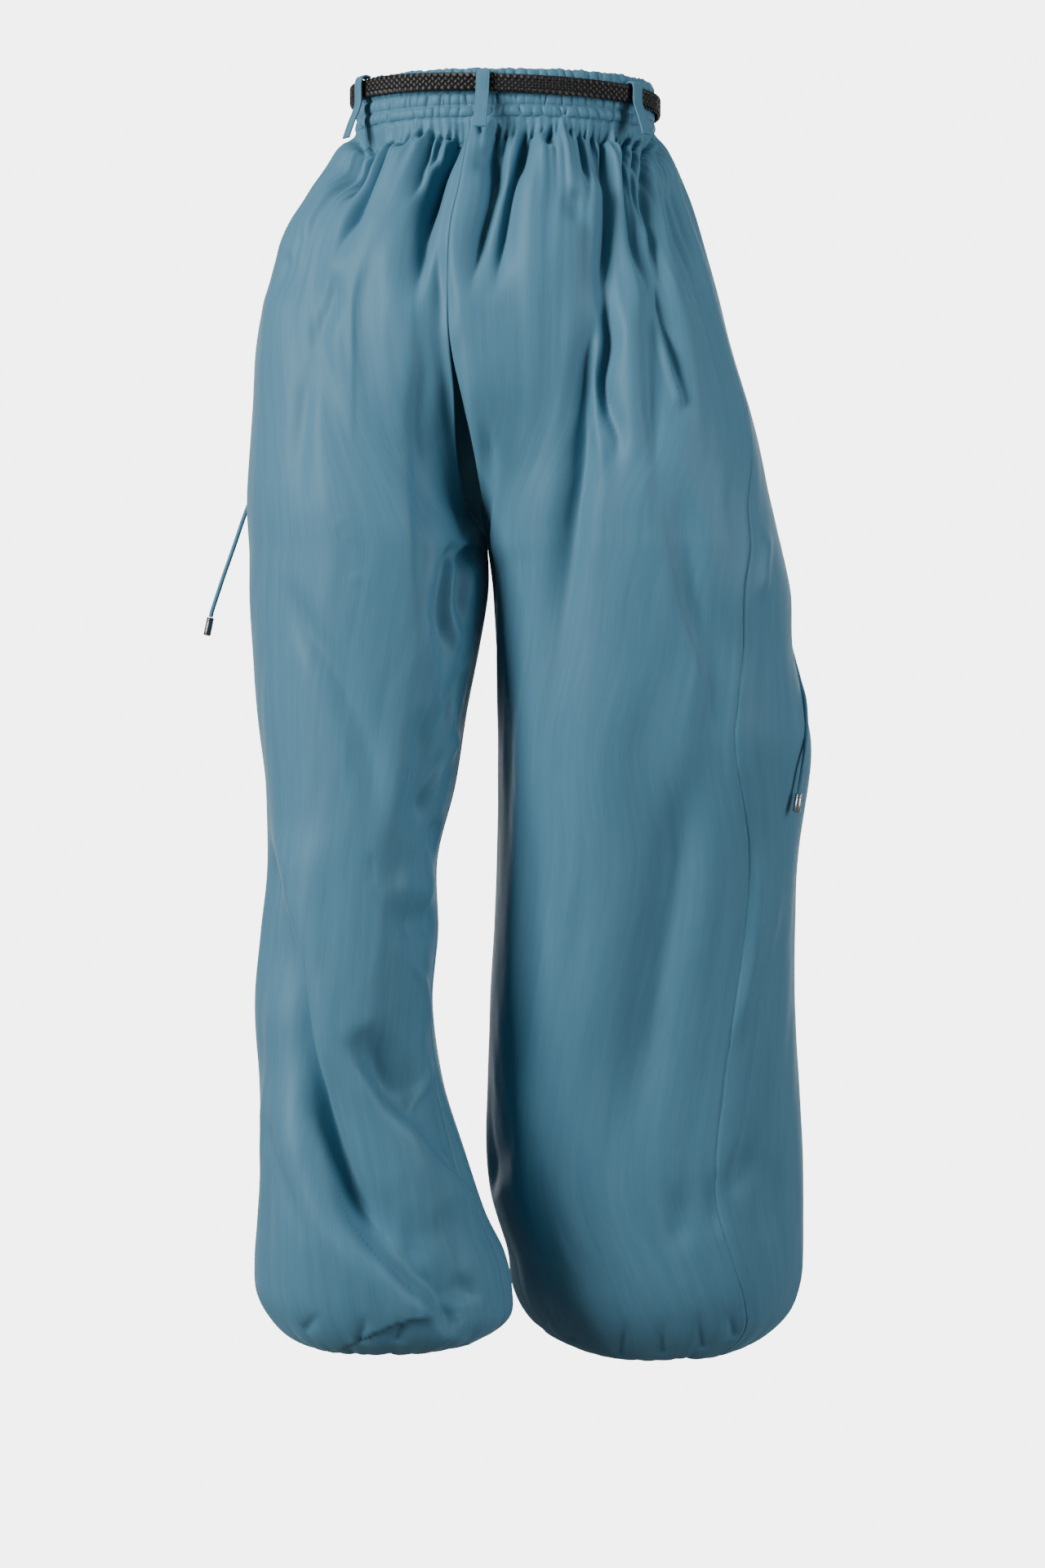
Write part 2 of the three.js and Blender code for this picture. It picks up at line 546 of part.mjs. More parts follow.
// Metal eyelet on the band, and the place of its hole
function eyelet(leg) {
  const profile = [
    [EYELET.hole, -0.5], [EYELET.outer, -0.5], [EYELET.outer, 0.5], [EYELET.hole, 0.5], [EYELET.hole, -0.5],
  ].map(([r, side]) => new THREE.Vector2(r, side * EYELET.thick));
  const geometry = new THREE.LatheGeometry(profile, 12);
  const direction = CENTRE_FRONT + legSign(leg) * EYELET.fromCentre;
  const { at, outward } = waistPoint(direction, EYELET.standOff, EYELET.height);
  const mesh = finish(geometry, `eyelet_${leg}`, COLOURS.steel);
  mesh.quaternion.setFromUnitVectors(new THREE.Vector3(0, 1, 0), outward);
  mesh.position.copy(at);
  return mesh;
}

// Free end of the drawstring and its metal end, which goes on in the cord's last direction
function drawstring(leg) {
  const route = new THREE.CatmullRomCurve3(
    CORD_ROUTES[leg].map((place) => new THREE.Vector3(...place)), false, 'centripetal');
  const section = new THREE.Shape(Array.from({ length: CORD.sides }, (_, i) => {
    const angle = 2 * Math.PI * i / CORD.sides;
    return new THREE.Vector2(CORD.radius * Math.cos(angle), CORD.radius * Math.sin(angle));
  }));
  const steps = Math.round(route.getLength() / CORD.pitch);
  const cord = new THREE.ExtrudeGeometry(section, { steps, extrudePath: route, bevelEnabled: false });
  const profile = [new THREE.Vector2(0, 0), new THREE.Vector2(CORD_END.radius, 0)];
  const ribPitch = (CORD_END.length - CORD_END.plain) / CORD_END.ribs;
  for (let i = 1; i <= CORD_END.ribs; i += 1) {
    profile.push(new THREE.Vector2(CORD_END.radius - CORD_END.rib, ribPitch * (i - 0.5)));
    profile.push(new THREE.Vector2(CORD_END.radius, ribPitch * i));
  }
  profile.push(new THREE.Vector2(CORD_END.radius, CORD_END.length), new THREE.Vector2(0, CORD_END.length));
  const tip = finish(new THREE.LatheGeometry(profile, CORD_END.sides), `cord_end_${leg}`, COLOURS.steel);
  const run = route.getTangent(1);
  tip.quaternion.setFromUnitVectors(new THREE.Vector3(0, 1, 0), run);
  tip.position.copy(route.getPoint(1)).addScaledVector(run, SEAM_GAP);
  return [finish(cord, `drawstring_${leg}`, COLOURS.cloth), tip];
}

const garment = new THREE.Group();
for (const leg of ['left', 'right']) {
  for (const face of ['back', 'front']) {
    garment.add(finish(panel(leg, face), `${face}_${leg}`, COLOURS.cloth));
  }
  garment.add(finish(pocketBag(leg), `pocket_${leg}`, COLOURS.cloth));
  garment.add(finish(ankleCasing(leg), `casing_${leg}`, COLOURS.cloth));
  garment.add(eyelet(leg), ...drawstring(leg));
}
garment.add(finish(waistband(), 'waistband', COLOURS.band));
garment.add(finish(beltStrap(), 'belt_strap', COLOURS.leather), buckleParts());
for (const loop of LOOPS) garment.add(finish(beltLoop(loop), loop.name, COLOURS.cloth));

export default garment;
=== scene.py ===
"""Blender scene of the elastic-waist trousers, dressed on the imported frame.

Sizes are in millimetres, as a maker would state them, and meshes are made in metres. +Z is up, the
wearer faces +Y, and the origin is at the middle of the waistband's ring.
"""
import logging
import math
from dataclasses import dataclass, field
from enum import Enum

import bpy
import numpy as np
from bpy.types import Material, Object
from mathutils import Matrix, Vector


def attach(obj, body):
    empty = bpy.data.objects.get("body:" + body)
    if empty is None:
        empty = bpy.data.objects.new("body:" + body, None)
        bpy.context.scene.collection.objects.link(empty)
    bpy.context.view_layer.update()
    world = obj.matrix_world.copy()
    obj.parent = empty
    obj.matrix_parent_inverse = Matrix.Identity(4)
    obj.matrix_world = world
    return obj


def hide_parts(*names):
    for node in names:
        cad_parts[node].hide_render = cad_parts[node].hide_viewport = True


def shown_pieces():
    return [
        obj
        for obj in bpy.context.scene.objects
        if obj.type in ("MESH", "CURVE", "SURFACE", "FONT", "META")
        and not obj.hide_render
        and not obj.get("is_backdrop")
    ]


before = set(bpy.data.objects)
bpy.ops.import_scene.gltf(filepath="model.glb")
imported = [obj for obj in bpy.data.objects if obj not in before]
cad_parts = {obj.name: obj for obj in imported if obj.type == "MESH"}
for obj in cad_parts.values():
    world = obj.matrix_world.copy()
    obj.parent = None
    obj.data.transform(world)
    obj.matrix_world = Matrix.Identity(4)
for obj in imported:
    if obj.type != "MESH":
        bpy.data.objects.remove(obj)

MM = 0.001
Array = np.ndarray
Pair = tuple[float, float]
Triple = tuple[float, float, float]
LOG = logging.getLogger("trousers")
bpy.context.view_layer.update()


class Leg(Enum):
    """Leg of the trousers, by the wearer's side."""

    LEFT = "left"
    RIGHT = "right"

    @property
    def sign(self) -> int:
        """-1 on the wearer's left, where x is negative, and 1 on the right."""
        return -1 if self is Leg.LEFT else 1


class Face(Enum):
    """Half of a leg: the panel at the back or at the front."""

    BACK = "back"
    FRONT = "front"

    @property
    def sign(self) -> int:
        """1 at the back and -1 at the front."""
        return 1 if self is Face.BACK else -1


class Slot(Enum):
    """Material slots of the record."""

    SATIN = "satin"
    BAND = "shirred_band"
    CORD = "satin_cord"
    LEATHER = "braided_leather"
    METAL = "metal"


class Edge(Enum):
    """How a fold's height runs across it."""

    SOFT = "soft"
    CUSP = "cusp"
    RIGHT_OVER = "right_over"
    LEFT_OVER = "left_over"


# Sections of the cloth by height, as in the part's source but with a rounder way into the crotch
HIP_NAMES = ("z", "left", "seam", "right", "back", "front", "fork", "swell", "side_left", "side_right")
HIP_SECTIONS = (
    (-20.5, -120, -20, 116, -94, 92, 0, 0, -8, 9),
    (-25, -128, -22, 121, -101, 98, 0, 0, -8, 9),
    (-33, -139, -24, 128, -107, 103, 0, 0, -8, 9),
    (-50, -150, -29, 137, -113, 107, 0, 0, -8, 9),
    (-75, -164, -35, 147, -119, 110, 0, 0, -9, 10),
    (-105, -181, -38, 156, -125, 113, 0, 0.03, -10, 11),
    (-150, -194, -38, 168, -131, 116, 0, 0.08, -11, 13),
    (-195, -201, -34, 181, -134, 118, 0.012, 0.19, -12, 15),
    (-240, -203, -31, 196, -133, 119, 0.06, 0.335, -13, 20),
    (-280, -205, -27, 206.5, -131, 120, 0.2, 0.52, -14, 29),
    (-315, -206, -22, 214, -128, 121, 0.46, 0.76, -15, 41),
    (-340, -205, -17.5, 219.5, -125, 121.5, 0.8, 0.93, -16, 45),
    (-353, -204.5, -15.5, 222.5, -123.5, 122, 1, 1, -16, 47),
)
LEG_NAMES = ("z", "outer", "inner", "back", "front", "side", "inseam")
LEG_SECTIONS = {
    Leg.LEFT: (
        (-385, -205, -15.5, -120, 121, -17, -3),
        (-430, -203.5, -22.5, -114.5, 121, -18, -6),
        (-480, -201, -32, -109, 121, -19, -9),
        (-540, -195, -41, -104, 122, -20, -12),
        (-600, -194, -55.5, -100.5, 122, -20, -14),
        (-660, -200, -55, -98, 124, -20, -15),
        (-720, -205, -59.5, -96, 127, -20, -15),
        (-780, -201, -52, -94, 130, -20, -15),
        (-840, -199, -34, -92, 133, -20, -15),
        (-890, -203, -18, -90, 135, -20, -15),
        (-925, -207, -2, -86, 132, -20, -15),
        (-953, -206, 3, -80, 126, -20, -15),
        (-974, -195, 2, -71, 119, -20, -15),
        (-988, -181, -14, -57, 105, -20, -15),
        (-995, -162, -40, -38, 84, -20, -15),
        (-985, -155, -49, -32, 77, -20, -15),
        (-970, -153, -51, -30, 75, -20, -15),
        (-962, -149, -55, -25, 69, -20, -15),
    ),
    Leg.RIGHT: (
        (-385, 229, -12, -117.5, 127, 54, 2),
        (-430, 230.5, -10, -107, 138, 55, 8),
        (-472, 239, -8.5, -97, 147, 61, 14),
        (-514, 247, -7.5, -85, 155, 65, 19),
        (-592, 238.5, -9.5, -61.5, 174, 54, 27),
        (-660, 238, -13, -42, 190, 55, 33),
        (-720, 239, -17, -26, 204, 59, 37),
        (-780, 243, -19, -10, 218, 64, 40),
        (-840, 248, -21, 4, 232, 68, 42),
        (-890, 250, -17, 16, 244, 68, 42),
        (-940, 251, -3, 28, 256, 63, 42),
        (-971, 249, 1, 38, 258, 58, 42),
        (-997, 240, 13, 52, 248, 54, 42),
        (-1017, 219, 36, 70, 230, 54, 42),
        (-1027, 192, 66, 87, 206, 54, 42),
        (-1016, 183, 77, 94, 200, 54, 42),
        (-1001, 181, 79, 96, 198, 54, 42),
        (-993, 177, 83, 100, 194, 54, 42),
    ),
}


def smoothstep(value: Array | float, low: float, high: float) -> Array:
    """Smooth step from 0 at low to 1 at high.

    Args:
        value: Numbers to place between the two ends.
        low: Where the step starts.
        high: Where the step ends.

    Returns:
        The step's height at each number.
    """
    t = np.clip((np.asarray(value, float) - low) / (high - low), 0.0, 1.0)
    return t * t * (3.0 - 2.0 * t)


def soft_noise(x: Array, y: Array, seed: int) -> Array:
    """Smooth random height between -1 and 1, with one hump or dip per unit.

    Args:
        x: Places along the first way.
        y: Places along the second way.
        seed: Chooses the pattern.

    Returns:
        The height at each place.
    """
    lattice = np.random.default_rng(seed).uniform(-1.0, 1.0, (64, 64))
    column, row = np.floor(x).astype(int), np.floor(y).astype(int)
    s, t = x - column, y - row
    s, t = s * s * (3 - 2 * s), t * t * (3 - 2 * t)
    near = lattice[column % 64, row % 64] * (1 - s) + lattice[(column + 1) % 64, row % 64] * s
    far = lattice[column % 64, (row + 1) % 64] * (1 - s) + lattice[(column + 1) % 64, (row + 1) % 64] * s
    return near * (1 - t) + far * t


def smooth_route(places: Array, steps: int) -> Array:
    """Points along a centripetal Catmull-Rom curve through the places.

    Args:
        places: The places, one row each.
        steps: Steps between one place and the next.

    Returns:
        The points, one row each, first and last place included.
    """
    places = np.asarray(places, float)
    ends = np.vstack([2 * places[0] - places[1], places, 2 * places[-1] - places[-2]])
    points = []
    for before, start, end, after in zip(ends, ends[1:], ends[2:], ends[3:]):
        gaps = [max(float(np.linalg.norm(b - a)) ** 0.5, 1e-4) for a, b in
                ((before, start), (start, end), (end, after))]
        leave = (start - before) / gaps[0] - (end - before) / (gaps[0] + gaps[1]) + (end - start) / gaps[1]
        reach = (end - start) / gaps[1] - (after - start) / (gaps[1] + gaps[2]) + (after - end) / gaps[2]
        leave, reach = leave * gaps[1], reach * gaps[1]
        t = (np.arange(steps) / steps)[:, None]
        points.append(start + leave * t + (3 * (end - start) - 2 * leave - reach) * t ** 2
                      + (2 * (start - end) + leave + reach) * t ** 3)
    return np.vstack([*points, places[-1:]])


def unit(vectors: Array) -> Array:
    """The vectors, each scaled to length 1."""
    return vectors / np.maximum(np.linalg.norm(vectors, axis=-1, keepdims=True), 1e-12)


def distances(points: Array) -> Array:
    """Distance of each point from the first one, measured along them all."""
    return np.r_[0.0, np.cumsum(np.linalg.norm(np.diff(points, axis=0), axis=1))]


def rows_at(distance: Array, far: Array, rows: Array) -> Array:
    """Points or ways between those that are known along a path.

    Args:
        distance: Where they are wanted.
        far: Where the known ones are.
        rows: The known ones, one row each.

    Returns:
        One row for each distance.
    """
    return np.stack([np.interp(distance, far, rows[:, i]) for i in range(3)], -1)


def grid_quads(numbers: Array) -> Array:
    """Faces between neighbours in a grid of point numbers, one face a row."""
    corners = [numbers[:-1, :-1], numbers[:-1, 1:], numbers[1:, 1:], numbers[1:, :-1]]
    return np.stack(corners, -1).reshape(-1, 4)


def rounded_ways(degrees: Array, roundness: float) -> tuple[Array, Array]:
    """Place on a rounded outline, as shares of its half width and half depth.

    Args:
        degrees: Directions from the middle.
        roundness: 1 for an ellipse, and less for squarer corners.

    Returns:
        The shares across and deep, from -1 to 1.
    """
    angle = np.radians(degrees)
    wide, deep = (np.sign(v) * np.abs(v) ** roundness for v in (np.cos(angle), np.sin(angle)))
    return wide, deep


def unit_circle(count: int) -> Array:
    """Evenly spaced points of a circle of radius 1, anticlockwise."""
    turns = np.linspace(0, 2 * math.pi, count + 1)[:-1]
    return np.stack([np.cos(turns), np.sin(turns)], -1)


@dataclass
class GarmentForm:
    """Smooth shape in which the cloth hangs, before its gathers and folds.

    A place on it is a leg, a face, how far across from the side seam (0) to the centre seam or
    inseam (1), and a station counted from the waistband down to the ankle.
    """

    turn: float = 8.5
    roundness: float = 0.89
    crotch_gap: float = 0.25
    crotch_share: Pair = (0.42, 0.98)
    probe_across: float = 0.004
    probe_down: float = 0.02
    tables: dict[Leg, dict[str, Array]] = field(init=False)

    def __post_init__(self) -> None:
        """Makes one table of sections for each leg."""
        self.tables = {leg: self._table(leg) for leg in Leg}

    def _table(self, leg: Leg) -> dict[str, Array]:
        """Columns of one leg's sections, hips first.

        Args:
            leg: The leg.

        Returns:
            One array for each name.
        """
        hips = dict(zip(HIP_NAMES, np.array(HIP_SECTIONS, float).T))
        legs = dict(zip(LEG_NAMES, np.array(LEG_SECTIONS[leg], float).T))
        below = np.ones(len(legs["z"]))
        return {
            "z": np.r_[hips["z"], legs["z"]],
            "outer": np.r_[hips[leg.value], legs["outer"]],
            "inner": np.r_[hips["seam"] + leg.sign * self.crotch_gap, legs["inner"]],
            "back": np.r_[hips["back"], legs["back"]],
            "front": np.r_[hips["front"], legs["front"]],
            "side": np.r_[hips[f"side_{leg.value}"], legs["side"]],
            "inseam": np.r_[0 * hips["z"], legs["inseam"]],
            "left": np.r_[hips["left"], below * hips["left"][-1]],
            "right": np.r_[hips["right"], below * hips["right"][-1]],
            "fork": np.r_[hips["fork"], below],
            "swell": np.r_[hips["swell"], below],
        }

    @property
    def last(self) -> int:
        """The last station, at the ankle casing."""
        return len(self.tables[Leg.LEFT]["z"]) - 1

    def section(self, leg: Leg, station: Array) -> dict[str, Array]:
        """Section between the table's rows, smooth through them all.

        Args:
            leg: The leg.
            station: Stations, whole or between rows.

        Returns:
            One array of the stations' shape for each name.
        """
        low = np.clip(np.floor(station).astype(int), 0, self.last - 1)
        t = station - low
        made = {}
        for name, column in self.tables[leg].items():
            p, q, r, s = (column[np.clip(low + step, 0, self.last)] for step in (-1, 0, 1, 2))
            bend = 2 * p - 5 * q + 4 * r - s
            made[name] = q + 0.5 * t * (r - p + t * (bend + t * (3 * (q - r) + s - p)))
        for name in ("fork", "swell"):
            made[name] = 1 - (1 - np.clip(made[name], 0, 1)) ** 2
        made["swell"] = np.clip(made["swell"], made["fork"], 1)
        return made

    def point(self, leg: Leg, face: Face, across: Array, station: Array) -> Array:
        """Point of the smooth cloth.

        Args:
            leg: The leg.
            face: The face.
            across: Share of the way from the side seam.
            station: Stations, of the same shape.

        Returns:
            The points in millimetres, on a last axis of three.
        """
        across, station = np.broadcast_arrays(across, station)
        s = self.section(leg, station)

        def ring(left: Array, right: Array, degrees: Array) -> Array:
            wide, deep = rounded_ways(degrees, self.roundness)
            return np.stack([(left + right) / 2 + leg.sign * (right - left) / 2 * wide,
                             (s["back"] + s["front"]) / 2 - (s["front"] - s["back"]) / 2 * deep], -1)

        centre = face.sign * 90 + leg.sign * self.turn
        hip = ring(s["left"], s["right"], s["side"] + (centre - s["side"]) * across)
        inseam = face.sign * 180 + s["inseam"]
        limb = ring(np.minimum(s["outer"], s["inner"]), np.maximum(s["outer"], s["inner"]),
                    s["side"] + (inseam - s["side"]) * across)
        parted = s["swell"] + (s["fork"] - s["swell"]) * smoothstep(across, *self.crotch_share)
        flat = hip + (limb - hip) * parted[..., None]
        return np.concatenate([flat, s["z"][..., None]], -1)

    def normal(self, leg: Leg, face: Face, across: Array, station: Array) -> Array:
        """Way out from the smooth cloth, of length 1, at each place of the same arguments."""
        across, station = np.broadcast_arrays(across, station)
        step = self.probe_across
        near, far = (self.point(leg, face, across + way, station) for way in (-step, step))
        below = np.clip(station + self.probe_down, 0, self.last)
        above = np.clip(station - self.probe_down, 0, self.last)
        down = self.point(leg, face, across, below) - self.point(leg, face, across, above)
        return unit(np.cross(far - near, down)) * leg.sign * face.sign


@dataclass(frozen=True)
class WaistRing:
    """Outline of the waistband, seen from above, by directions clockwise from the wearer's right."""

    left: float = -120.0
    right: float = 116.0
    back: float = -94.0
    front: float = 92.0
    roundness: float = 0.89

    def place(self, direction: Array) -> Array:
        """Points of the outline, in millimetres, at directions in degrees."""
        wide, deep = rounded_ways(direction, self.roundness)
        return np.stack([(self.left + self.right) / 2 + (self.right - self.left) / 2 * wide,
                         (self.back + self.front) / 2 - (self.front - self.back) / 2 * deep], -1)

    def ways(self, direction: Array) -> tuple[Array, Array]:
        """Level directions at the outline.

        Args:
            direction: Directions in degrees.

        Returns:
            The way out and the way along, each of length 1 and with three coordinates.
        """
        along = unit(self.place(direction + 1.0) - self.place(direction - 1.0))
        outward = np.stack([-along[..., 1], along[..., 0]], -1)
        turned = np.sign((outward * self.place(direction)).sum(-1, keepdims=True))
        zero = np.zeros(along.shape[:-1] + (1,))
        return np.concatenate([outward * turned, zero], -1), np.concatenate([along, zero], -1)

    def point(self, direction: Array, out: Array | float, z: Array | float) -> Array:
        """Points at a distance out from the outline and a height.

        Args:
            direction: Directions in degrees.
            out: Distance out.
            z: Height.

        Returns:
            The points in millimetres.
        """
        direction, out, z = np.broadcast_arrays(direction, out, z)
        outward, _ = self.ways(direction)
        flat = self.place(direction) + outward[..., :2] * out[..., None]
        return np.concatenate([flat, z[..., None].astype(float)], -1)

    def even_directions(self, count: int) -> tuple[Array, float]:
        """Directions that are evenly spaced along the outline.

        Args:
            count: How many.

        Returns:
            The directions in degrees, and the outline's length in millimetres.
        """
        fine = np.linspace(0.0, 360.0, 3601)
        far = distances(self.place(fine))
        return np.interp(np.arange(count) / count * far[-1], far, fine), float(far[-1])


@dataclass(frozen=True)
class BeltLine:
    """Height of the belt round the waist: a little lower on the wearer's right."""

    middle: float = 5.0
    tilt: float = -0.036
    tall: float = 14.0

    def height(self, x: Array | float) -> Array | float:
        """Height of the belt's middle line, in millimetres, at a place across."""
        return self.middle + self.tilt * x


@dataclass
class MeshWork:
    """Points, faces and cloth places of one piece while it is being made."""

    points: list[Array] = field(default_factory=list)
    faces: list[Array] = field(default_factory=list)
    places: list[Array] = field(default_factory=list)
    finishes: list[int] = field(default_factory=list)
    count: int = 0

    def add(self, points: Array, faces: list[Array], place: Array | None = None, finish: int = 0) -> None:
        """Adds points and the faces between them.

        Args:
            points: Points in millimetres.
            faces: Arrays of point numbers, one face a row, all of one length in each array.
            place: Place of each point on the cloth, in millimetres, or None to use the points.
            finish: Number of the finish in the piece's list.
        """
        points = points.reshape(-1, 3)
        for group in faces:
            self.faces.append(np.asarray(group, int) + self.count)
            self.finishes.append(finish)
        self.points.append(points)
        self.places.append(points if place is None else place.reshape(-1, 3))
        self.count += len(points)

    def build(self, name: str, finishes: list[Material]) -> Object:
        """Makes the Blender object.

        Args:
            name: The piece's name.
            finishes: Its materials, in the order of the finish numbers.

        Returns:
            The object, linked to the scene.
        """
        mesh = bpy.data.meshes.new(name)
        points = np.concatenate(self.points) * MM
        sizes = np.concatenate([np.full(len(group), group.shape[1]) for group in self.faces])
        chosen = np.concatenate([np.full(len(group), number)
                                 for group, number in zip(self.faces, self.finishes)])
        corners = np.concatenate([group.ravel() for group in self.faces])
        mesh.vertices.add(len(points))
        mesh.vertices.foreach_set("co", points.ravel())
        mesh.loops.add(len(corners))
        mesh.loops.foreach_set("vertex_index", corners.astype(np.int32))
        mesh.polygons.add(len(sizes))
        mesh.polygons.foreach_set("loop_start", np.r_[0, np.cumsum(sizes)[:-1]].astype(np.int32))
        mesh.polygons.foreach_set("material_index", chosen.astype(np.int32))
        mesh.update(calc_edges=True)
        mesh.validate()
        mesh.shade_smooth()
        cloth = mesh.attributes.new("cloth", "FLOAT_VECTOR", "POINT")
        cloth.data.foreach_set("vector", (np.concatenate(self.places) * MM).ravel())
        for finish in finishes:
            mesh.materials.append(finish)
        piece = bpy.data.objects.new(name, mesh)
        bpy.context.scene.collection.objects.link(piece)
        return piece

    def add_shell(self, outer: Array, inner: Array, place: Array, ring: bool, inside: int = 0) -> None:
        """Adds a thin closed shell between two grids of points.

        Args:
            outer: Grid of the right side, rows by columns by three.
            inner: Grid of the wrong side.
            place: Place on the cloth of each point of the grid.
            ring: Whether the rows run all the way round.
            inside: Number of the finish on the wrong side.
        """
        rows, columns = outer.shape[:2]
        numbers = np.arange(rows * columns).reshape(rows, columns)
        if ring:
            numbers = np.hstack([numbers, numbers[:, :1]])
        far = numbers + rows * columns

        def strip(first: Array, second: Array) -> Array:
            return np.stack([first[:-1], second[:-1], second[1:], first[1:]], -1)

        near_quads = grid_quads(numbers)
        right = [near_quads, strip(numbers[0], far[0]), strip(far[-1], numbers[-1])]
        wrong = [grid_quads(far)[:, ::-1]]
        if not ring:
            right += [strip(far[:, 0], numbers[:, 0]), strip(numbers[:, -1], far[:, -1])]
        points = np.concatenate([outer.reshape(-1, 3), inner.reshape(-1, 3)])
        a, b, c = (points[near_quads[:, i]] for i in range(3))
        facing = np.cross(b - a, c - a) * (a - inner.reshape(-1, 3)[near_quads[:, 0]])
        if facing.sum() < 0:
            right, wrong = [group[:, ::-1] for group in right], [group[:, ::-1] for group in wrong]
        places = np.concatenate([place.reshape(-1, 3)] * 2)
        start = self.count
        self.add(points, right, places)
        for group in wrong:
            self.faces.append(group + start)
            self.finishes.append(inside)

    def add_bar(self, path: Array, wide: Array, over: Array, outline: Array, closed: bool = False,
                finish: int = 0) -> None:
        """Adds a bar with one outline along a path.

        Args:
            path: Points of the path.
            wide: Way of the outline's first coordinate at each point.
            over: Way of its second coordinate.
            outline: Outline's points, anticlockwise, or one such set for each point of the path.
            closed: Whether the path's end joins its start.
            finish: Number of the finish.
        """
        shape = np.broadcast_to(outline, (len(path),) + np.shape(outline)[-2:])
        grid = path[:, None] + wide[:, None] * shape[..., :1] + over[:, None] * shape[..., 1:]
        rows, columns = grid.shape[:2]
        numbers = np.arange(rows * columns).reshape(rows, columns)
        numbers = np.hstack([numbers, numbers[:, :1]])
        place = np.stack(np.broadcast_arrays(distances(shape[0])[None, :], distances(path)[:, None], 0.0), -1)
        if closed:
            numbers = np.vstack([numbers, numbers[:1]])
        faces = [grid_quads(numbers)]
        if not closed:
            faces += [numbers[:1, -2::-1], numbers[-1:, :-1]]
        turned = np.cross(wide[0], over[0]) @ (path[1] - path[0])
        if turned < 0:
            faces = [group[:, ::-1] for group in faces]
        self.add(grid, faces, place, finish)


def round_outline(wide: float, tall: float, corner: float, steps: int = 3) -> Array:
    """Outline of a rectangle with rounded corners, anticlockwise.

    Args:
        wide: Size along the first way.
        tall: Size along the second way.
        corner: Radius of the corners.
        steps: Steps round each corner.

    Returns:
        The outline's points, one row each.
    """
    turns = np.radians(np.arange(4)[:, None] * 90.0 + np.linspace(0, 90, steps + 1)[None, :])
    middle = np.array([[1, 1], [-1, 1], [-1, -1], [1, -1]]) * (wide / 2 - corner, tall / 2 - corner)
    return (middle[:, None] + corner * np.stack([np.cos(turns), np.sin(turns)], -1)).reshape(-1, 2)


class Value:
    """A shader socket whose sums and products are written as plain expressions."""

    def __init__(self, shader: "Shader", socket: bpy.types.NodeSocket) -> None:
        """Keeps the shader and the socket."""
        self.shader = shader
        self.socket = socket

    def _math(self, operation: str, first: "Value | float", second: "Value | float") -> "Value":
        """Result of one Math node, with Blender's name of the operation."""
        return self.shader.node("ShaderNodeMath", {"operation": operation}, {0: first, 1: second}, "Value")

    def __add__(self, other: "Value | float") -> "Value":
        """Sum."""
        return self._math("ADD", self, other)

    def __sub__(self, other: "Value | float") -> "Value":
        """Difference."""
        return self._math("SUBTRACT", self, other)

    def __mul__(self, other: "Value | float") -> "Value":
        """Product."""
        return self._math("MULTIPLY", self, other)


class Shader:
    """Node tree of one finish."""

    def __init__(self, name: str) -> None:
        """Starts a material with an empty tree.

        Args:
            name: The material's name.
        """
        self.material = bpy.data.materials.new(name)
        self.material.use_nodes = True
        self.tree = self.material.node_tree
        self.tree.nodes.clear()

    def node(self, kind: str, settings: dict, inputs: dict, output: str | int = 0) -> Value:
        """Adds any node.

        Args:
            kind: Blender's type of node.
            settings: Settings by name, set first.
            inputs: Numbers, colours or values by socket name or number.
            output: Socket whose value is wanted.

        Returns:
            The wanted output.
        """
        made = self.tree.nodes.new(kind)
        for name, setting in settings.items():
            setattr(made, name, setting)
        for name, given in inputs.items():
            if isinstance(given, Value):
                self.tree.links.new(given.socket, made.inputs[name])
            elif hasattr(given, "__len__") and made.inputs[name].type == "RGBA":
                made.inputs[name].default_value = (*given[:3], 1.0)
            else:
                made.inputs[name].default_value = given
        return Value(self, made.outputs[output])

    def cloth_place(self, wide: float, along: float) -> Value:
        """Place on the cloth, scaled for a pattern.

        Args:
            wide: Pattern's repeats per metre across the threads.
            along: Pattern's repeats per metre along them.

        Returns:
            The scaled place.
        """
        place = self.node("ShaderNodeAttribute", {"attribute_name": "cloth"}, {}, "Vector")
        return self.node("ShaderNodeMapping", {}, {"Vector": place, "Scale": (wide, along, 1.0)}, "Vector")

    def noise(self, place: Value, scale: float = 1.0, detail: float = 2.0, roughness: float = 0.5) -> Value:
        """Noise at a place, from 0 to 1.

        Args:
            place: Where it is read.
            scale: Its fineness.
            detail: Its finer layers.
            roughness: Their strength.

        Returns:
            The noise's height.
        """
        return self.node("ShaderNodeTexNoise", {}, {
            "Vector": place, "Scale": scale, "Detail": detail, "Roughness": roughness}, "Fac")

    def blend(self, first: Value | tuple, second: Value | tuple, share: Value | float) -> Value:
        """Mixes two colours.

        Args:
            first: Colour where share is 0.
            second: Colour where share is 1.
            share: How much of the second.

        Returns:
            The mixed colour.
        """
        return self.node("ShaderNodeMix", {"data_type": "RGBA"}, {
            "Factor": share, 6: first, 7: second}, 2)

    def bump(self, height: Value, distance: float, strength: float = 1.0) -> Value:
        """Bump whose height is in parts of a distance in metres.

        Args:
            height: Height, about 0 to 1.
            distance: Real height of 1, in metres.
            strength: Share of it that shows.

        Returns:
            The bumped normal.
        """
        return self.node("ShaderNodeBump", {}, {
            "Height": height, "Distance": distance, "Strength": strength}, "Normal")

    def surface(self, inputs: dict) -> Material:
        """Ends the tree with a principled surface.

        Args:
            inputs: Its sockets' numbers, colours or values.

        Returns:
            The finished material.
        """
        made = self.node("ShaderNodeBsdfPrincipled", {}, inputs, "BSDF")
        output = self.tree.nodes.new("ShaderNodeOutputMaterial")
        self.tree.links.new(made.socket, output.inputs["Surface"])
        return self.material


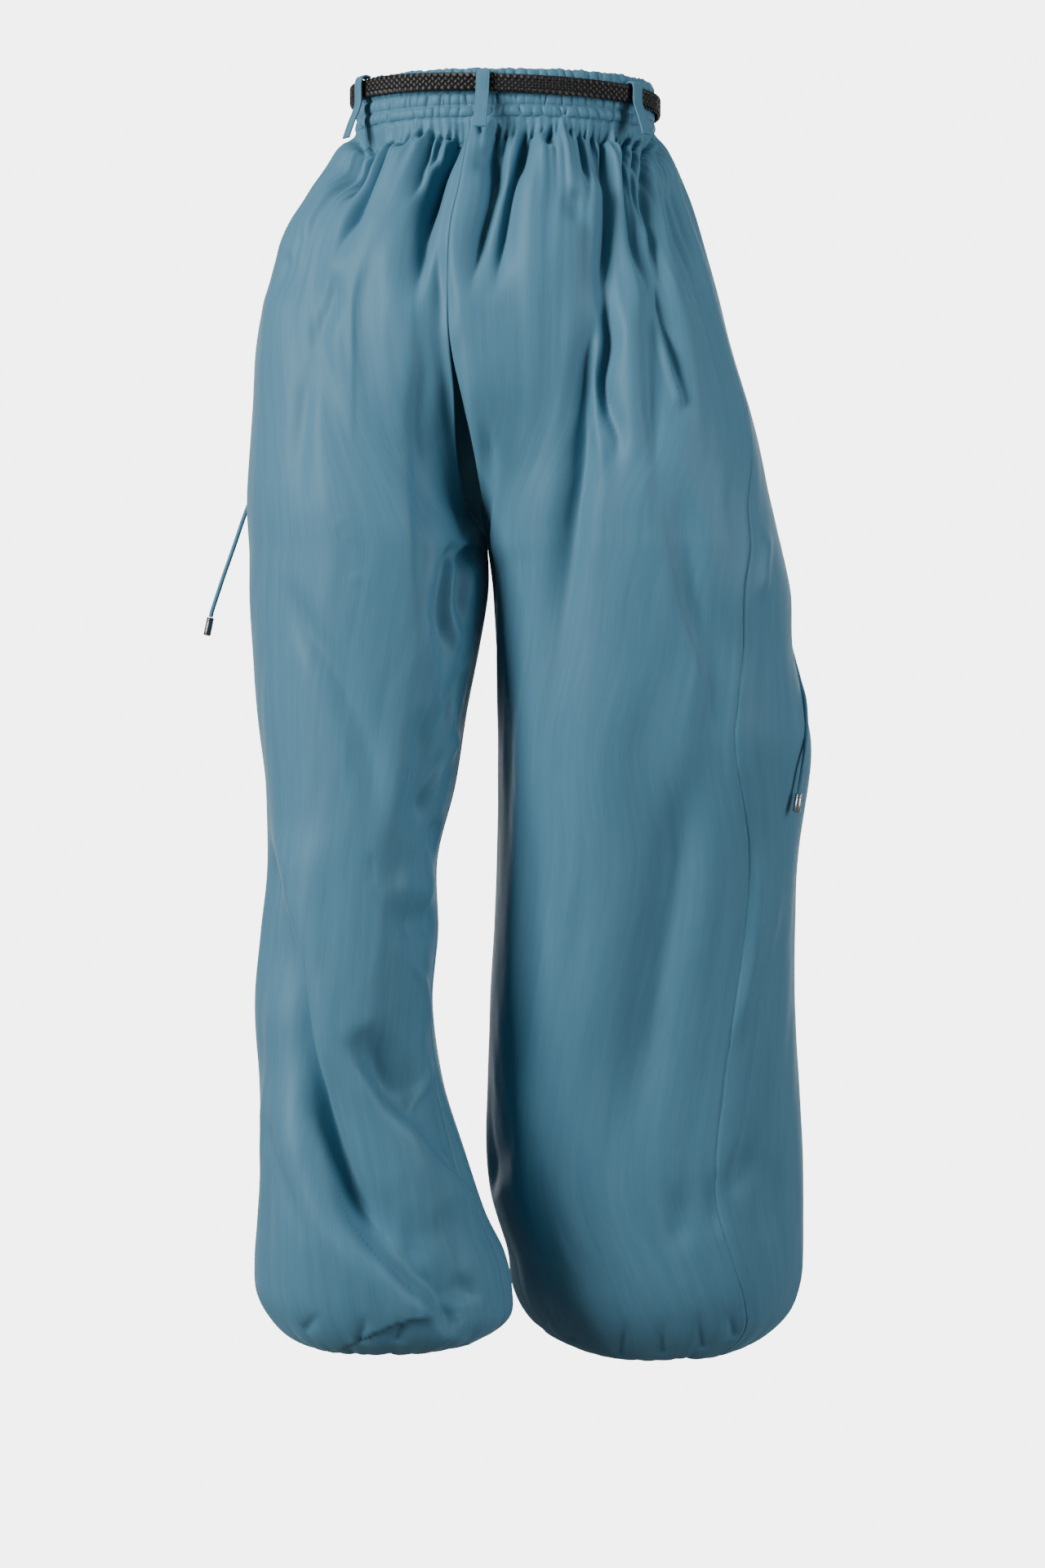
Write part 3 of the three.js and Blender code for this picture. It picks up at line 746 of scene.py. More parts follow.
@dataclass(frozen=True)
class SatinFinish:
    """Fine satin with slubs along its threads and a soft sheen.

    Its slubs, threads and weave are patterns with so many repeats per metre across and along the
    threads. The relief is their real height in metres.
    """

    name: str = "satin"
    base: Triple = (0.060, 0.164, 0.245)
    light: Triple = (0.092, 0.222, 0.316)
    roughness: float = 0.52
    sheen: float = 0.22
    slubs: Pair = (160, 7)
    threads: Pair = (900, 45)
    weave: Pair = (3200, 1500)
    relief: float = 0.00012

    def make(self) -> Material:
        """Makes the material."""
        shader = Shader(self.name)
        slub = shader.noise(shader.cloth_place(*self.slubs), detail=3.0, roughness=0.6)
        thread = shader.noise(shader.cloth_place(*self.threads), detail=2.0)
        weave = shader.noise(shader.cloth_place(*self.weave), detail=1.0)
        shade = (slub - 0.5) * 0.9 + (thread - 0.5) * 0.5 + (weave - 0.5) * 0.35 + 0.35
        colour = shader.blend(self.base, self.light, shade)
        rough = (slub - 0.5) * 0.10 + (thread - 0.5) * 0.08 + self.roughness
        height = slub * 0.35 + thread * 0.35 + weave * 0.3
        return shader.surface({
            "Base Color": colour,
            "Roughness": rough,
            "Normal": shader.bump(height, self.relief, 0.8),
            "Specular IOR Level": 0.26,
            "Specular Tint": (0.62, 0.90, 1.0, 1.0),
            "Sheen Weight": self.sheen,
            "Sheen Roughness": 0.40,
            "Sheen Tint": (0.45, 0.80, 0.95, 1.0),
        })


@dataclass(frozen=True)
class ThreadFinish:
    """Sewing thread in the cloth's colour."""

    name: str = "thread"
    colour: Triple = (0.060, 0.180, 0.245)

    def make(self) -> Material:
        """Makes the material."""
        shader = Shader(self.name)
        twist = shader.noise(shader.cloth_place(900, 2500))
        colour = shader.blend(self.colour, tuple(1.5 * c for c in self.colour), twist)
        return shader.surface({"Base Color": colour, "Roughness": 0.55})


@dataclass(frozen=True)
class LeatherFinish:
    """Black leather, polished on top of each strand."""

    name: str = "braided_leather"

    def make(self) -> Material:
        """Makes the material."""
        shader = Shader(self.name)
        place = shader.node("ShaderNodeTexCoord", {}, {}, "Object")
        grain = shader.noise(place, 1400.0, 3.0)
        wear = shader.noise(place, 160.0, 2.0)
        colour = shader.blend((0.004, 0.0035, 0.004), (0.012, 0.010, 0.011), wear)
        return shader.surface({
            "Base Color": colour,
            "Roughness": grain * 0.12 + wear * 0.10 + 0.34,
            "Normal": shader.bump(grain, 0.00008, 0.6),
            "Specular IOR Level": 0.32,
        })


@dataclass(frozen=True)
class MetalFinish:
    """Polished steel with fine scratches."""

    name: str = "metal"
    colour: Triple = (0.52, 0.52, 0.54)
    roughness: float = 0.18

    def make(self) -> Material:
        """Makes the material."""
        shader = Shader(self.name)
        place = shader.node("ShaderNodeTexCoord", {}, {}, "Object")
        scratch = shader.noise(place, 900.0, 3.0)
        colour = shader.blend(self.colour, tuple(0.8 * c for c in self.colour), scratch)
        return shader.surface({
            "Base Color": colour,
            "Metallic": 1.0,
            "Roughness": scratch * 0.16 + self.roughness,
            "Normal": shader.bump(scratch, 0.00002, 0.5),
        })


@dataclass(frozen=True)
class StudioFinish:
    """Plain pale paint of the floor and backdrop."""

    name: str = "studio"
    colour: Triple = (0.02, 0.02, 0.02)
    glow: float = 5.2

    def make(self) -> Material:
        """Makes the material."""
        shader = Shader(self.name)
        return shader.surface({
            "Base Color": (*self.colour, 1.0),
            "Roughness": 0.9,
            "Specular IOR Level": 0.0,
            "Emission Color": (0.985, 0.99, 1.0, 1.0),
            "Emission Strength": self.glow,
        })


@dataclass(frozen=True)
class Finishes:
    """All the materials of the garment."""

    satin: Material
    inside: Material
    thread: Material
    leather: Material
    steel: Material
    dark_steel: Material
    studio: Material

    @classmethod
    def make(cls) -> "Finishes":
        """Makes them once for the scene."""
        return cls(
            satin=SatinFinish().make(),
            inside=SatinFinish("satin_inside", (0.045, 0.150, 0.215), (0.070, 0.200, 0.275), 0.6, 0.1).make(),
            thread=ThreadFinish().make(),
            leather=LeatherFinish().make(),
            steel=MetalFinish().make(),
            dark_steel=MetalFinish("dark_metal", (0.17, 0.17, 0.18), 0.24).make(),
            studio=StudioFinish().make(),
        )


@dataclass(frozen=True)
class Viewpoint:
    """The photograph's camera: about 2.6 m behind the wearer, below the hips, and nearly level.

    Its focal length and the middle of its picture are in the picture's points, and a point_size is
    what one point covers on the garment, in millimetres.
    """

    place: Triple = (11.8, -2600.0, -431.5)
    lens: float = 74.1
    down: float = 2.362
    focal: float = 3952.0
    middle: Pair = (640.0, 960.0)
    point_size: float = 0.648

    def seen(self, points: Array) -> Array:
        """Places of points in the picture.

        Args:
            points: Points in millimetres.

        Returns:
            Their places across and down, in the picture's 1280 by 1920 points.
        """
        away = points - self.place
        tilt = math.radians(self.down)
        deep = away[..., 1] * math.cos(tilt) - away[..., 2] * math.sin(tilt)
        up = away[..., 1] * math.sin(tilt) + away[..., 2] * math.cos(tilt)
        return np.stack([self.middle[0] + self.focal * away[..., 0] / deep,
                         self.middle[1] - self.focal * up / deep], -1)

    def make(self) -> None:
        """Makes the camera and sets it as the scene's."""
        camera = bpy.data.objects.new("camera", bpy.data.cameras.new("camera"))
        camera.data.lens = self.lens
        camera.data.sensor_width = 36.0
        camera.location = Vector(self.place) * MM
        camera.rotation_euler = (math.radians(90.0 - self.down), 0.0, 0.0)
        bpy.context.scene.collection.objects.link(camera)
        bpy.context.scene.camera = camera


@dataclass(frozen=True)
class CordEnd:
    """Metal end of a cord: a ribbed neck that is crimped on the cord, and a plain barrel."""

    radius: float = 3.0
    length: float = 15.0
    gap: float = 0.3
    ribs: int = 2
    pitch: float = 1.3
    first_rib: float = 0.6
    collar: tuple[Pair, ...] = ((1.9, 0.0), (2.5, 0.05), (2.9, 0.4))
    sides: int = 28

    def profile(self) -> Array:
        """Radius and distance along the end, from the cord outwards."""
        rows = [*self.collar]
        for rib in range(self.ribs):
            start = self.first_rib + rib * self.pitch
            rows += [(self.radius, start), (self.radius, start + 0.6 * self.pitch),
                     (self.radius - 0.3, start + 0.8 * self.pitch)]
        rows += [(self.radius, 0.8 + self.ribs * self.pitch), (self.radius, self.length - 0.6),
                 (self.radius - 0.15, self.length - 0.2), (self.radius - 0.6, self.length)]
        return np.array(rows)

    def make(self, leg: Leg, tip: Array, run: Array, finish: Material) -> Object:
        """Makes the end on a cord's tip.

        Args:
            leg: Side of the cord.
            tip: Where the cord stops.
            run: The cord's last direction.
            finish: The metal.

        Returns:
            The piece.
        """
        work = MeshWork()
        side = unit(np.cross(run, (0.0, 0.0, 1.0) if abs(run[2]) < 0.9 else (1.0, 0.0, 0.0)))
        across = np.cross(run, side)
        rows = self.profile()
        path = tip + run * (self.gap + rows[:, 1:])
        ways = [np.tile(way, (len(rows), 1)) for way in (side, across)]
        work.add_bar(path, *ways, rows[:, :1, None] * unit_circle(self.sides)[None])
        piece = work.build(f"cord_tip_{leg.value}", [finish])
        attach(piece, "root")
        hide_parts(f"cord_end_{leg.value}")
        return piece


@dataclass(frozen=True)
class Drawstrings:
    """The two free ends of the waist cord, with their eyelets and metal ends."""

    radius: float = 1.8
    eyelet_outer: float = 4.6
    eyelet_hole: float = 2.3
    eyelet_thick: float = 1.4
    eyelet_corner: float = 0.65
    eyelet_height: float = -15.5
    eyelet_stand_off: float = 2.6
    from_centre: float = 11.0
    centre_front: float = 278.5
    end: CordEnd = CordEnd()
    routes: tuple[tuple[Leg, tuple[Triple, ...]], ...] = (
        (Leg.LEFT, (
            (-9, 96, -15.5), (-9, 100.5, -16.2), (-9.2, 105, -19.5), (-9.8, 108.5, -26),
            (-11.5, 111.5, -38), (-16, 112.5, -53), (-26, 113, -74), (-40, 113.4, -98),
            (-57, 114.4, -124), (-77, 110.5, -150), (-99, 109, -176), (-122, 106.5, -202),
            (-146, 101.5, -228), (-167, 95.5, -253), (-185, 83, -276), (-199, 66, -293),
            (-206.5, 54, -302.5), (-211.7, 48, -311), (-216.4, 45.5, -323.5), (-221.8, 44, -339.6),
            (-227.1, 43, -355), (-232.5, 42, -370.4), (-237.8, 41, -386.5), (-242, 40.5, -399.5),
            (-243, 40.4, -404),
        )),
        (Leg.RIGHT, (
            (42, 92.3, -15.5), (42, 96.8, -16.2), (42.2, 101, -19.5), (43, 103.8, -26),
            (44.8, 105.3, -38), (50, 105.5, -56), (60, 102.5, -82), (72, 101.5, -114), (88, 101, -148),
            (107, 96.5, -184), (128, 91.5, -222), (152, 91.5, -262), (178.5, 89, -303), (202, 79, -344),
            (214.5, 72, -376), (221, 62, -391), (225.5, 49, -404.5), (229.2, 31, -424.9),
            (232.2, 16.5, -440.6), (235.2, 5, -455), (238.4, -6, -470), (239, -15, -485),
            (238.6, -22, -499), (237.2, -28.5, -511), (235.4, -31, -523), (233.8, -30, -534.5),
            (232.4, -29, -545),
        )),
    )

    def cord(self, leg: Leg, line: Array, finish: Material) -> Object:
        """Makes one free end of the cord as a round curve.

        Args:
            leg: Its side.
            line: Points of its centreline.
            finish: The satin that it is sewn from.

        Returns:
            The curve.
        """
        name = f"cord_{leg.value}"
        curve = bpy.data.curves.new(name, "CURVE")
        curve.dimensions = "3D"
        curve.bevel_depth = self.radius * MM
        curve.bevel_resolution = 5
        curve.use_fill_caps = True
        spline = curve.splines.new("POLY")
        spline.points.add(len(line) - 1)
        spline.points.foreach_set("co", np.c_[line * MM, np.ones(len(line))].ravel())
        curve.materials.append(finish)
        piece = bpy.data.objects.new(name, curve)
        bpy.context.scene.collection.objects.link(piece)
        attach(piece, "root")
        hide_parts(f"drawstring_{leg.value}")
        return piece

    def eyelet(self, leg: Leg, ring: WaistRing, finish: Material) -> Object:
        """Makes the rounded metal ring that the cord comes out of."""
        direction = np.array(self.centre_front + leg.sign * self.from_centre)
        outward, along = ring.ways(direction)
        middle = ring.point(direction, self.eyelet_stand_off, self.eyelet_height)
        turns = np.radians(np.arange(0, 360, 10))[:, None]
        up = np.cross(outward, along)
        spoke = np.cos(turns) * along + np.sin(turns) * up
        path = middle + spoke * (self.eyelet_outer + self.eyelet_hole) / 2
        work = MeshWork()
        outline = round_outline(self.eyelet_outer - self.eyelet_hole, self.eyelet_thick, self.eyelet_corner)
        work.add_bar(path, spoke, np.tile(outward, (len(path), 1)), outline, closed=True)
        piece = work.build(f"eyelet_ring_{leg.value}", [finish])
        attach(piece, "root")
        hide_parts(f"eyelet_{leg.value}")
        return piece

    def make(self, ring: WaistRing, finishes: Finishes) -> list[Object]:
        """Args:
            ring: The waistband's outline.
            finishes: The materials.

        Returns:
            The pieces.
        """
        pieces = []
        for leg, places in self.routes:
            line = smooth_route(np.array(places, float), 8)
            cord = self.cord(leg, line, finishes.satin)
            metal = finishes.dark_steel if leg is Leg.LEFT else finishes.steel
            end = self.end.make(leg, line[-1], unit(line[-1] - line[-2]), metal)
            eyelet = self.eyelet(leg, ring, finishes.steel)
            pieces += [cord, end, eyelet]
        return pieces


# How far folds reach to each side, in widths: in full, and at all
FOLD_FULL = 4.0
FOLD_REACH = 5.0
# Blunt tip of a crease, in widths
CUSP_TIP = 0.22
# Upper layer of a lapped fold: its height's share, its fading per width, and the turn of its edge in
# millimetres, with what a deep fold adds and how deep that is
LAP_TOP = 0.5
LAP_FADE = 0.6
LAP_TURN = 1.8
LAP_TURN_DEEP = 8.0
LAP_DEEP = 20.0


@dataclass(frozen=True)
class Fold:
    """One fold placed on the cloth as it is seen from behind or from in front.

    Its places are (across, down) in points of the picture as the camera behind sees it, or (x, z) in
    millimetres seen from in front. A depth below 0 is a trough and above 0 a ridge. Where one side lies
    over the other, that side is raised at the line and the other drops beside it.
    """

    places: tuple[Pair, ...]
    width: Pair
    depth: float
    edge: Edge = Edge.SOFT
    fades: Pair = (0.35, 0.45)
    face: Face = Face.BACK

    def line(self, view: Viewpoint) -> Array:
        """The fold's smooth line, in millimetres of its view."""
        places = smooth_route(np.array(self.places, float), 10)
        return places * view.point_size if self.face is Face.BACK else places

    @staticmethod
    def nearest(places: Array, line: Array) -> tuple[Array, Array, Array]:
        """How each place lies to the line.

        Args:
            places: The places, one row each.
            line: Points of the line.

        Returns:
            The distance to the line, the same below 0 on its left, and how far along it that is, as
            a share of its length.
        """
        far = distances(line)
        best = np.full(len(places), np.inf)
        signed, share = np.zeros(len(places)), np.zeros(len(places))
        for start, way, size, before in zip(line, np.diff(line, axis=0), np.diff(far), far):
            away = places - start
            kept = np.clip(away @ way / size ** 2, 0.0, 1.0)
            gap = np.linalg.norm(away - kept[:, None] * way, axis=1)
            side = way[1] * away[:, 0] - way[0] * away[:, 1]
            closer = gap < best
            best = np.where(closer, gap, best)
            signed = np.where(closer, np.where(side < 0, -gap, gap), signed)
            share = np.where(closer, (before + kept * size) / far[-1], share)
        return best, signed, share

    def profile(self, t: Array, width: Array) -> Array:
        """Height across the fold, as a share of its depth.

        Args:
            t: Distance from the line in widths, above 0 on its right.
            width: The fold's width at each place, in millimetres.

        Returns:
            The share at each place.
        """
        if self.edge is Edge.SOFT:
            return np.exp(-(t ** 2))
        if self.edge is Edge.CUSP:
            return np.exp(-(np.hypot(t, CUSP_TIP) - CUSP_TIP))
        over = t if self.edge is Edge.RIGHT_OVER else -t
        sharp = (LAP_TURN + LAP_TURN_DEEP * min(1.0, abs(self.depth) / LAP_DEEP)) / width
        turned = 1.0 - np.exp(-np.abs(over) / sharp)
        return turned * np.where(over > 0, LAP_TOP * np.exp(-LAP_FADE * over), -np.exp(LAP_FADE * over))

    def height(self, seen: Array, view: Viewpoint) -> Array:
        """Height of the fold above the cloth.

        Args:
            seen: Places of the cloth in the fold's view, in millimetres.
            view: The camera behind.

        Returns:
            The rise at each place.
        """
        line = self.line(view)
        rise = np.zeros(seen.shape[:-1])
        reach = FOLD_REACH * max(self.width)
        near = ((seen > line.min(0) - reach) & (seen < line.max(0) + reach)).all(-1)
        best, signed, share = self.nearest(seen[near], line)
        width = self.width[0] + (self.width[1] - self.width[0]) * share
        across = self.profile(signed / width * self.face.sign, width)
        come = smoothstep(share, -1e-3, self.fades[0]) if self.fades[0] else 1.0
        go = 1 - smoothstep(share, 1 - self.fades[1], 1.0) if self.fades[1] else 1.0
        ends = np.exp(-(np.maximum(0.0, best - FOLD_FULL * width) / width) ** 2)
        rise[near] = self.depth * across * come * go * ends
        return rise


def creases(depth: float, widths: Pair, edge: Edge, fades: Pair,
            *lines: tuple[Pair, ...]) -> list[Fold]:
    """Folds of one kind along several lines, as the camera behind sees them."""
    return [Fold(line, widths, depth, edge, fades) for line in lines]


# Folds of the guessed front, placed by x and z in millimetres
FRONT_FOLDS = tuple(Fold(places, widths, depth, edge, (0.3, 0.4), Face.FRONT)
                    for places, widths, depth, edge in (
    (((70, -45), (58, -240), (62, -490)), (5, 14), -9, Edge.CUSP),
    (((112, -50), (126, -150), (142, -290)), (5, 12), -7, Edge.CUSP),
    (((-72, -45), (-86, -240), (-94, -480)), (5, 14), -9, Edge.CUSP),
    (((-118, -50), (-140, -160), (-152, -300)), (5, 12), -7, Edge.CUSP),
    (((20, -40), (14, -140), (10, -260)), (4, 10), -6, Edge.CUSP),
    (((-30, -40), (-36, -120), (-44, -330)), (4, 11), -7, Edge.CUSP),
    (((60, -590), (92, -760), (150, -940)), (18, 18), -9, Edge.LEFT_OVER),
    (((205, -540), (192, -700), (160, -880)), (16, 18), -7, Edge.SOFT),
    (((120, -330), (128, -480), (118, -640)), (10, 16), -6, Edge.SOFT),
    (((-160, -420), (-130, -520), (-78, -620)), (18, 20), -6, Edge.SOFT),
    (((-158, -640), (-120, -790), (-60, -925)), (18, 18), -9, Edge.LEFT_OVER),
    (((-96, -560), (-104, -700), (-90, -880)), (12, 16), 5, Edge.SOFT),
))

# Pleats that leave the waistband's last row of stitches, seen from behind
PLEATS = (
    *creases(-13.0, (2.2, 5.5), Edge.CUSP, (0.0, 0.45),
        ((443, 152), (423, 181), (407, 209), (398, 238)), ((457, 150), (440, 177), (424, 209), (412, 241)),
        ((470, 142), (455, 163), (437, 190), (420, 225), (408, 255)), ((505, 143), (490, 162), (477, 182)),
        ((529, 145), (520, 170), (512, 200), (505, 227), (495, 250)),
        ((542, 142), (535, 157), (527, 180), (519, 205)), ((621, 145), (614, 187), (609, 217), (602, 250)),
        ((656, 140), (650, 165), (644, 190), (638, 225)), ((677, 141), (675, 158), (674, 178)),
        ((710, 140), (717, 170), (722, 195), (728, 230)), ((728, 141), (736, 177), (744, 207), (748, 232)),
        ((787, 150), (793, 207), (799, 245), (806, 285))),
    *creases(-17.0, (2.4, 8.5), Edge.CUSP, (0.0, 0.4),
        ((482, 145), (467, 170), (455, 198), (443, 225), (431, 257), (417, 290), (405, 330)),
        ((567, 145), (557, 172), (542, 200), (530, 230), (521, 262), (514, 300)),
        ((610, 143), (606, 177), (606, 207), (601, 245), (591, 283), (583, 320), (574, 372)),
        ((645, 139), (642, 170), (635, 203), (627, 237), (621, 275), (614, 315), (603, 375)),
        ((775, 149), (777, 195), (781, 245), (785, 290), (795, 330), (803, 372)),
        ((800, 155), (805, 195), (809, 240), (814, 285), (817, 330), (815, 372))),
    *creases(-18.0, (2.8, 11.0), Edge.CUSP, (0.0, 0.35),
        ((560, 143), (549, 177), (535, 207), (525, 236), (518, 262), (514, 300), (509, 345), (505, 385)),
        ((745, 141), (750, 177), (753, 212), (754, 255), (750, 300), (742, 345), (735, 392))),
    *creases(-8.0, (1.6, 3.0), Edge.CUSP, (0.0, 0.8),
        ((450, 150), (438, 172), (428, 190)), ((463, 146), (450, 166), (442, 180)),
        ((492, 144), (484, 158), (478, 172)), ((517, 144), (510, 160), (505, 172)),
        ((551, 144), (545, 160), (541, 172)), ((576, 144), (572, 158), (567, 172)),
        ((589, 144), (587, 158), (586, 168)), ((632, 141), (629, 160), (627, 178)),
        ((666, 140), (664, 156), (663, 168)), ((684, 140), (684, 152), (684, 163)),
        ((701, 140), (702, 155), (703, 168)), ((719, 140), (722, 158), (725, 174)),
        ((736, 141), (740, 158), (744, 172)), ((759, 144), (762, 160), (764, 182)),
        ((767, 146), (770, 165), (772, 185)), ((809, 158), (816, 182), (824, 205))),
)

# Folds over the seat and hips, seen from behind
SEAT_FOLDS = (
    *creases(-7.0, (6.5, 9.0), Edge.SOFT, (0.4, 0.5),
        ((596, 172), (593, 195), (588, 220)), ((537, 278), (537, 320), (544, 370), (552, 420)),
        ((703, 222), (706, 252), (711, 285)), ((411, 320), (405, 370), (393, 410), (389, 432))),
    *creases(3.0, (9.0, 14.0), Edge.SOFT, (0.4, 0.5),
        ((493, 240), (484, 300), (478, 370), (474, 450)), ((660, 200), (652, 290), (650, 400), (655, 520)),
        ((690, 210), (682, 300), (676, 400)), ((466, 230), (452, 300), (448, 360))),
    *creases(-2.5, (3.5, 4.5), Edge.RIGHT_OVER, (0.15, 0.5),
        ((446, 320), (437, 360), (435.5, 414), (435, 466), (434, 518), (433, 590)),
        ((775, 160), (778, 210), (783, 272), (785, 330), (787, 400))),
    *creases(-2.5, (3.0, 4.0), Edge.LEFT_OVER, (0.1, 0.5),
        ((693, 141), (694, 175), (695, 210), (697, 245), (699, 285))),
    *creases(8.0, (15.0, 17.0), Edge.LEFT_OVER, (0.25, 0.35),
        ((505, 340), (507, 401), (507, 449), (502, 494), (501, 545), (506, 594), (507, 642), (508, 707),
         (511, 760), (515, 828))),
    *creases(-6.0, (9.0, 11.0), Edge.SOFT, (0.3, 0.3),
        ((524, 300), (529, 340), (536, 391), (543, 441), (551, 490), (560, 560), (569, 620))),
    *creases(11.0, (12.0, 13.0), Edge.RIGHT_OVER, (0.35, 0.12),
        ((571, 385), (568, 432), (569, 483), (574, 535), (581, 585), (588, 630), (595, 668), (602, 700))),
    *creases(8.0, (8.0, 8.0), Edge.RIGHT_OVER, (0.3, 0.2),
        ((597, 505), (604, 532), (608, 552), (607, 604), (605, 656), (606, 704))),
    *creases(-16.0, (9.5, 16.0), Edge.SOFT, (0.25, 0.6),
        ((735, 345), (728, 400), (720, 449), (715, 518), (709, 570), (698, 640), (689, 725), (683, 828),
         (676, 931))),
    *creases(6.0, (4.5, 6.0), Edge.SOFT, (0.3, 0.4),
        ((741, 380), (734, 430), (729, 466), (727, 518), (735, 560), (737, 604))),
    *creases(-13.5, (5.0, 8.0), Edge.SOFT, (0.3, 0.5),
        ((748, 330), (746, 380), (748, 414), (740, 466), (746, 500), (757, 535), (752, 570), (745, 600))),
    *creases(4.5, (8.0, 10.0), Edge.SOFT, (0.3, 0.5),
        ((768, 330), (770, 400), (773, 460), (776, 530), (780, 600))),
    *creases(7.0, (7.0, 10.0), Edge.LEFT_OVER, (0.2, 0.4),
        ((786, 330), (787, 400), (789, 483), (794, 535), (799, 594), (797, 656))),
    *creases(5.0, (3.2, 3.6), Edge.SOFT, (0.5, 0.15),
        ((806, 372), (812, 410), (818, 440), (827, 470), (835, 503))),
    *creases(-9.0, (3.2, 6.0), Edge.CUSP, (0.2, 0.5),
        ((808, 330), (813, 372), (822, 412), (832, 450), (840, 492), (845, 530))),
    *creases(-7.0, (4.0, 6.5), Edge.CUSP, (0.3, 0.5),
        ((808, 170), (821, 215), (831, 257), (838, 300), (845, 345), (856, 400)),
        ((827, 205), (838, 245), (848, 290), (858, 340))),
    *creases(-5.0, (3.0, 5.0), Edge.CUSP, (0.3, 0.5),
        ((372, 262), (358, 300), (346, 345), (334, 385)), ((388, 245), (372, 290), (362, 340), (357, 390)),
        ((350, 300), (341, 335), (328, 372)), ((432, 180), (408, 218), (392, 250), (381, 285))),
)

